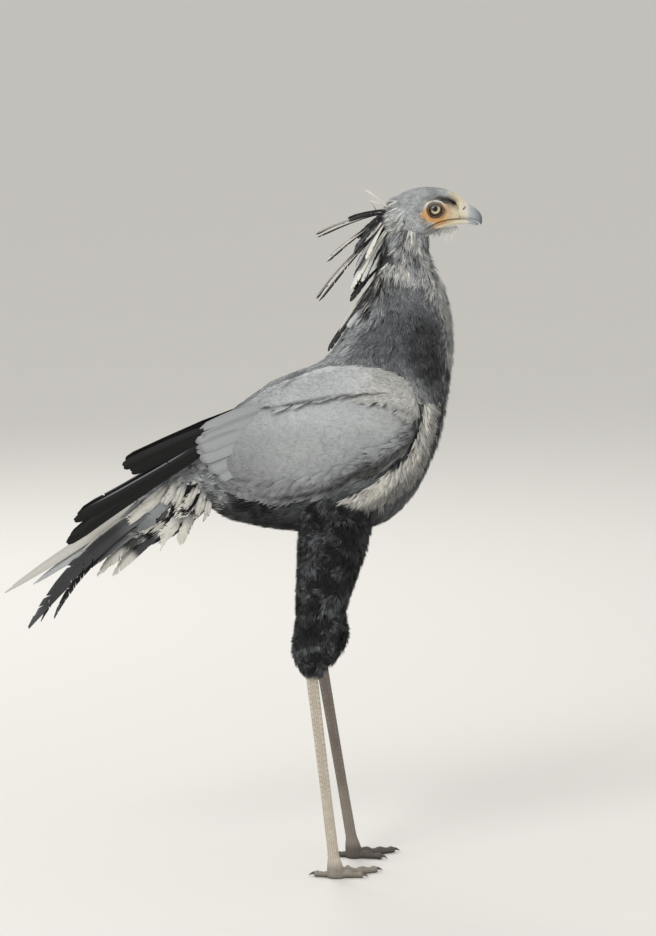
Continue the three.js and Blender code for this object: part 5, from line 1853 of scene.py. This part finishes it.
def tailColour(kind):
    def colour(t, x):
        if kind == "long":
            return tones["white"] * (0.66 - 0.08 * abs(x)) + 0 * t
        if kind == "pale":
            return tones["light"] * (1.0 - 0.1 * abs(x)) + 0 * t
        if kind == "grey":
            return tones["grey"] + smooth(t, 0.55, 0.95) * 0.6 * (tones["slate"] - tones["grey"])
        if kind == "tuft":
            return tones["slate"] + smooth(t, 0.1, 0.6) * (tones["white"] * 0.8 - tones["slate"])
        if kind == "barred":
            edge = np.maximum(0.5 * smooth(np.abs(x), 0.75, 0.95), smooth(t, 0.9, 1.0))
            pale = tones["slate"] + smooth(t, 0.2, 0.6) * (tones["white"] * 0.72 - tones["slate"])
            return pale + 0.8 * edge * (tones["dark"] * 0.8 - pale)
        if kind == "dark":
            tone = tones["slate"] + smooth(t, 0.3, 0.45) * (tones["dark"] * 0.8 - tones["slate"])
            tone = tone + smooth(t, 0.85, 0.97) * 0.5 * (tones["slate"] - tone)
            rim = smooth(-x, 0.72, 0.88) * smooth(t, 0.3, 0.38) * (1 - smooth(t, 0.6, 0.68))
            return tone + 0.9 * rim * (tones["white"] - tone)
        tone = tones["grey"] + smooth(t, 0.4, 0.5) * (tones["dark"] - tones["grey"])
        return tone + smooth(t, 0.68, 0.76) * (tones["white"] * 0.7 - tone)
    return colour


tailFan = {"tilt": 0.8, "outline": [(0, 0.35), (0.2, 0.8), (0.5, 1), (0.75, 0.85), (0.9, 0.5), (1, 0.12)]}
tuftOutline = [(0, 0.5), (0.4, 0.95), (0.7, 0.95), (0.88, 0.6), (1, 0.12)]


def tailSide(x, z):  # how far out the tail's base lies at a place of its side view
    rows, turns = (grid.ravel() for grid in np.meshgrid(np.linspace(0, 4, 60), np.linspace(0.3, 2.8, 60)))
    places = lookUp(tailSurface, rows, turns) / mm
    best = np.argmin(np.hypot(places[:, 0] - x, places[:, 2] - z) - 0.2 * np.abs(places[:, 1]))
    return abs(places[best, 1])


def buildTail():
    draw = np.random.default_rng(29)
    plumes = []
    for name, side in sides.items():
        for rootX, rootZ, middleX, middleZ, tipX, tipZ, out, half, kind in tailRows[name]:
            root, tip = np.array([rootX, side * out, rootZ]), np.array([tipX, side * out, tipZ])
            middle = np.array([middleX, side * (out + 1.0), middleZ])
            way = unit(tip - root)
            outward = np.array([way[2], 0, -way[0]]) * math.cos(tailFan["tilt"])
            outward[1] = side * math.sin(tailFan["tilt"])
            part, fray = {"dark": (0.1, 0.04), "banded": (0.12, 0.08)}.get(kind, (0.02, 0.006))
            plumes.append(plume((root, middle, tip), outward, half, tailFan["outline"], tailColour(kind),
                                draw, strips=110, part=part, fray=fray))
        for rootX, rootZ, tipX, tipZ, half, kind in undertailPlumes:
            out = [max(tailSide(x, z), undertailLocks["least"]) for x, z in ((rootX, rootZ), (tipX, tipZ))]
            for k in range(undertailLocks["each"]):
                shift = undertailLocks["spread"] * draw.normal(size=4)
                root = np.array([rootX + shift[0], side * (out[0] - 3), rootZ + shift[1]])
                tip = np.array([tipX + shift[2], side * (out[1] + 3 + 0.5 * k), tipZ + 1.3 * shift[3]])
                middle = (root + tip) / 2 + [0, side * 5, 0]
                wide = half * undertailLocks["half"] * draw.uniform(0.7, 1.2)
                plumes.append(plume((root, middle, tip), np.array([0, float(side), 0]), wide, tuftOutline,
                                    tailColour(kind), draw, strips=22, columns=2, part=0.16, fray=0.2,
                                    cup=0.06, shaft=0.25))
    plumePiece("tailFeathers", plumes, paints["flight"], "tail_feathers", ["tail"])


crestRows = [  # root x, z, tip x, z, half width, how far the tip stands out, tone, tone of the shaft's end
    [219, 1040, 190, 1064, 1.6, 12, "white", "white"],
    [219, 1038, 196, 1048, 1.8, 20, "white", "white"],
    [222, 1031, 164, 1017, 3.6, 26, "black", "dark"],
    [220, 1026, 116, 992, 3.8, 14, "black", "white"],
    [220, 1019, 130, 955, 3.8, 30, "black", "white"],
    [220, 1006, 118, 894, 4.6, 18, "black", "white"],
    [222, 998, 167, 914, 6.0, 34, "white", "pale"],
    [212, 944, 166, 894, 4.4, 24, "black", "dark"],
    [211, 932, 149, 842, 4.4, 16, "dark", "white"],
    [207, 912, 132, 817, 4.4, 26, "black", "dark"],
    [208, 901, 163, 855, 5.6, 36, "light", "pale"],
    [221, 1030, 178, 990, 4.2, 16, "black", "dark"],
    [221, 1024, 172, 968, 4.6, 22, "black", "slate"],
    [220, 1014, 176, 944, 5.0, 30, "dark", "pale"],
    [220, 1004, 172, 930, 4.6, 20, "black", "dark"],
    [219, 1012, 190, 960, 4.0, 36, "white", "white"],
    [218, 990, 184, 925, 4.6, 34, "pale", "white"],
    [216, 975, 176, 905, 4.4, 28, "black", "dark"],
]
crestOutline = [(0, 0.25), (0.35, 0.45), (0.6, 0.8), (0.8, 1), (0.93, 0.8), (1, 0.2)]
crest = {"rootOut": 9, "sink": 12, "arch": 0.05, "turn": 0.9, "jitter": 4}


def crestTones(tone, shaftEnd, above):  # the vane's colour and the shaft's
    def colour(t, x):
        rim = smooth(x * above, -0.1, 0.5) * smooth(t, 0.45, 0.65) * 0.8
        return tones[tone] * (1.05 - 0.2 * abs(x)) + rim * (tones[shaftEnd] - tones[tone])

    def shaftTone(t):
        return tones[tone] + smooth(t, 0.35, 0.55) * (tones[shaftEnd] - tones[tone])
    return colour, shaftTone


def buildCrest():
    draw = np.random.default_rng(31)
    plumes = []
    for side in sides.values():
        for rootX, rootZ, tipX, tipZ, half, out, tone, shaftEnd in crestRows:
            stray = draw.uniform(-1, 1, 2) * (crest["jitter"] if side > 0 else 0)
            root = np.array([rootX, side * crest["rootOut"], rootZ], float)
            tip = np.array([tipX + stray[0], side * out, tipZ + stray[1]], float)
            way = tip - root
            long = np.linalg.norm(way)
            root = root - way / long * crest["sink"]
            middle = (root + tip) / 2 + [0, 0, long * crest["arch"]]
            outward = unit(np.array([way[2], 0, -way[0]])) * math.cos(crest["turn"])
            outward[1] = side * math.sin(crest["turn"])
            above = 1 if np.cross(outward, way)[2] > 0 else -1
            colour, shaftTone = crestTones(tone, shaftEnd, above)
            plumes.append(plume((root, middle, tip), outward, half, crestOutline, colour, draw, strips=70,
                                part=0.1, fray=0.05, shaft=1.0, shaftTone=shaftTone))
    plumePiece("crestPlumes", plumes, paints["flight"], "black_feathers")


for sideName, sideSign in sides.items():
    buildFlight(sideName, sideSign)
buildTail()
buildCrest()
print("stage: large feathers built")


# Floor, light and camera, in metres and watts
stage = {
    "floorSize": 300, "floorTone": "#e6e4df", "background": "#ecebe8", "skyStrength": 0.8,
    "camera": (0.13175, -5.9487, 1.4156), "target": (0.13175, 0, 0.6324), "lens": 148.9,
    "lit": (0.05, 0, 0.65),
    "key": {"place": (-2.2, -3.8, 3.9), "size": 2.2, "power": 125},
    "fill": {"place": (3.6, -3.4, 1.8), "size": 3.0, "power": 18},
    "rim": {"place": (-1.2, 3.4, 3.2), "size": 2.4, "power": 60},
}


def softLight(name, place, size, power):
    deselectAll()
    bpy.ops.object.light_add(type="AREA", location=place)
    light = bpy.context.object
    light.name = name
    light.data.size = size
    light.data.energy = power
    light.rotation_euler = (Vector(stage["lit"]) - Vector(place)).to_track_quat("-Z", "Y").to_euler()


deselectAll()
bpy.ops.mesh.primitive_plane_add(size=stage["floorSize"], location=(0, 0, -0.0005))
floor = bpy.context.object
floor.name = "floor"
floorPaint, _, floorShader = newMaterial("studio floor, matt paint", 0.9)
floorShader.inputs["Base Color"].default_value = (*linear(stage["floorTone"]), 1)
floor.data.materials.append(floorPaint)
world = bpy.data.worlds.new("studio")
world.use_nodes = True
world.node_tree.nodes["Background"].inputs["Color"].default_value = (*linear(stage["background"]), 1)
world.node_tree.nodes["Background"].inputs["Strength"].default_value = stage["skyStrength"]
bpy.context.scene.world = world
for lightName in ("key", "fill", "rim"):
    softLight(lightName + "Light", **stage[lightName])
bpy.context.scene.view_settings.view_transform = "Standard"
deselectAll()
bpy.ops.object.camera_add(location=stage["camera"])
camera = bpy.context.object
camera.data.lens = stage["lens"]
camera.data.sensor_width = 36
aim = Vector(stage["target"]) - Vector(stage["camera"])
camera.rotation_euler = aim.to_track_quat("-Z", "Y").to_euler()
bpy.context.scene.camera = camera
print("stage: floor, light and camera set")
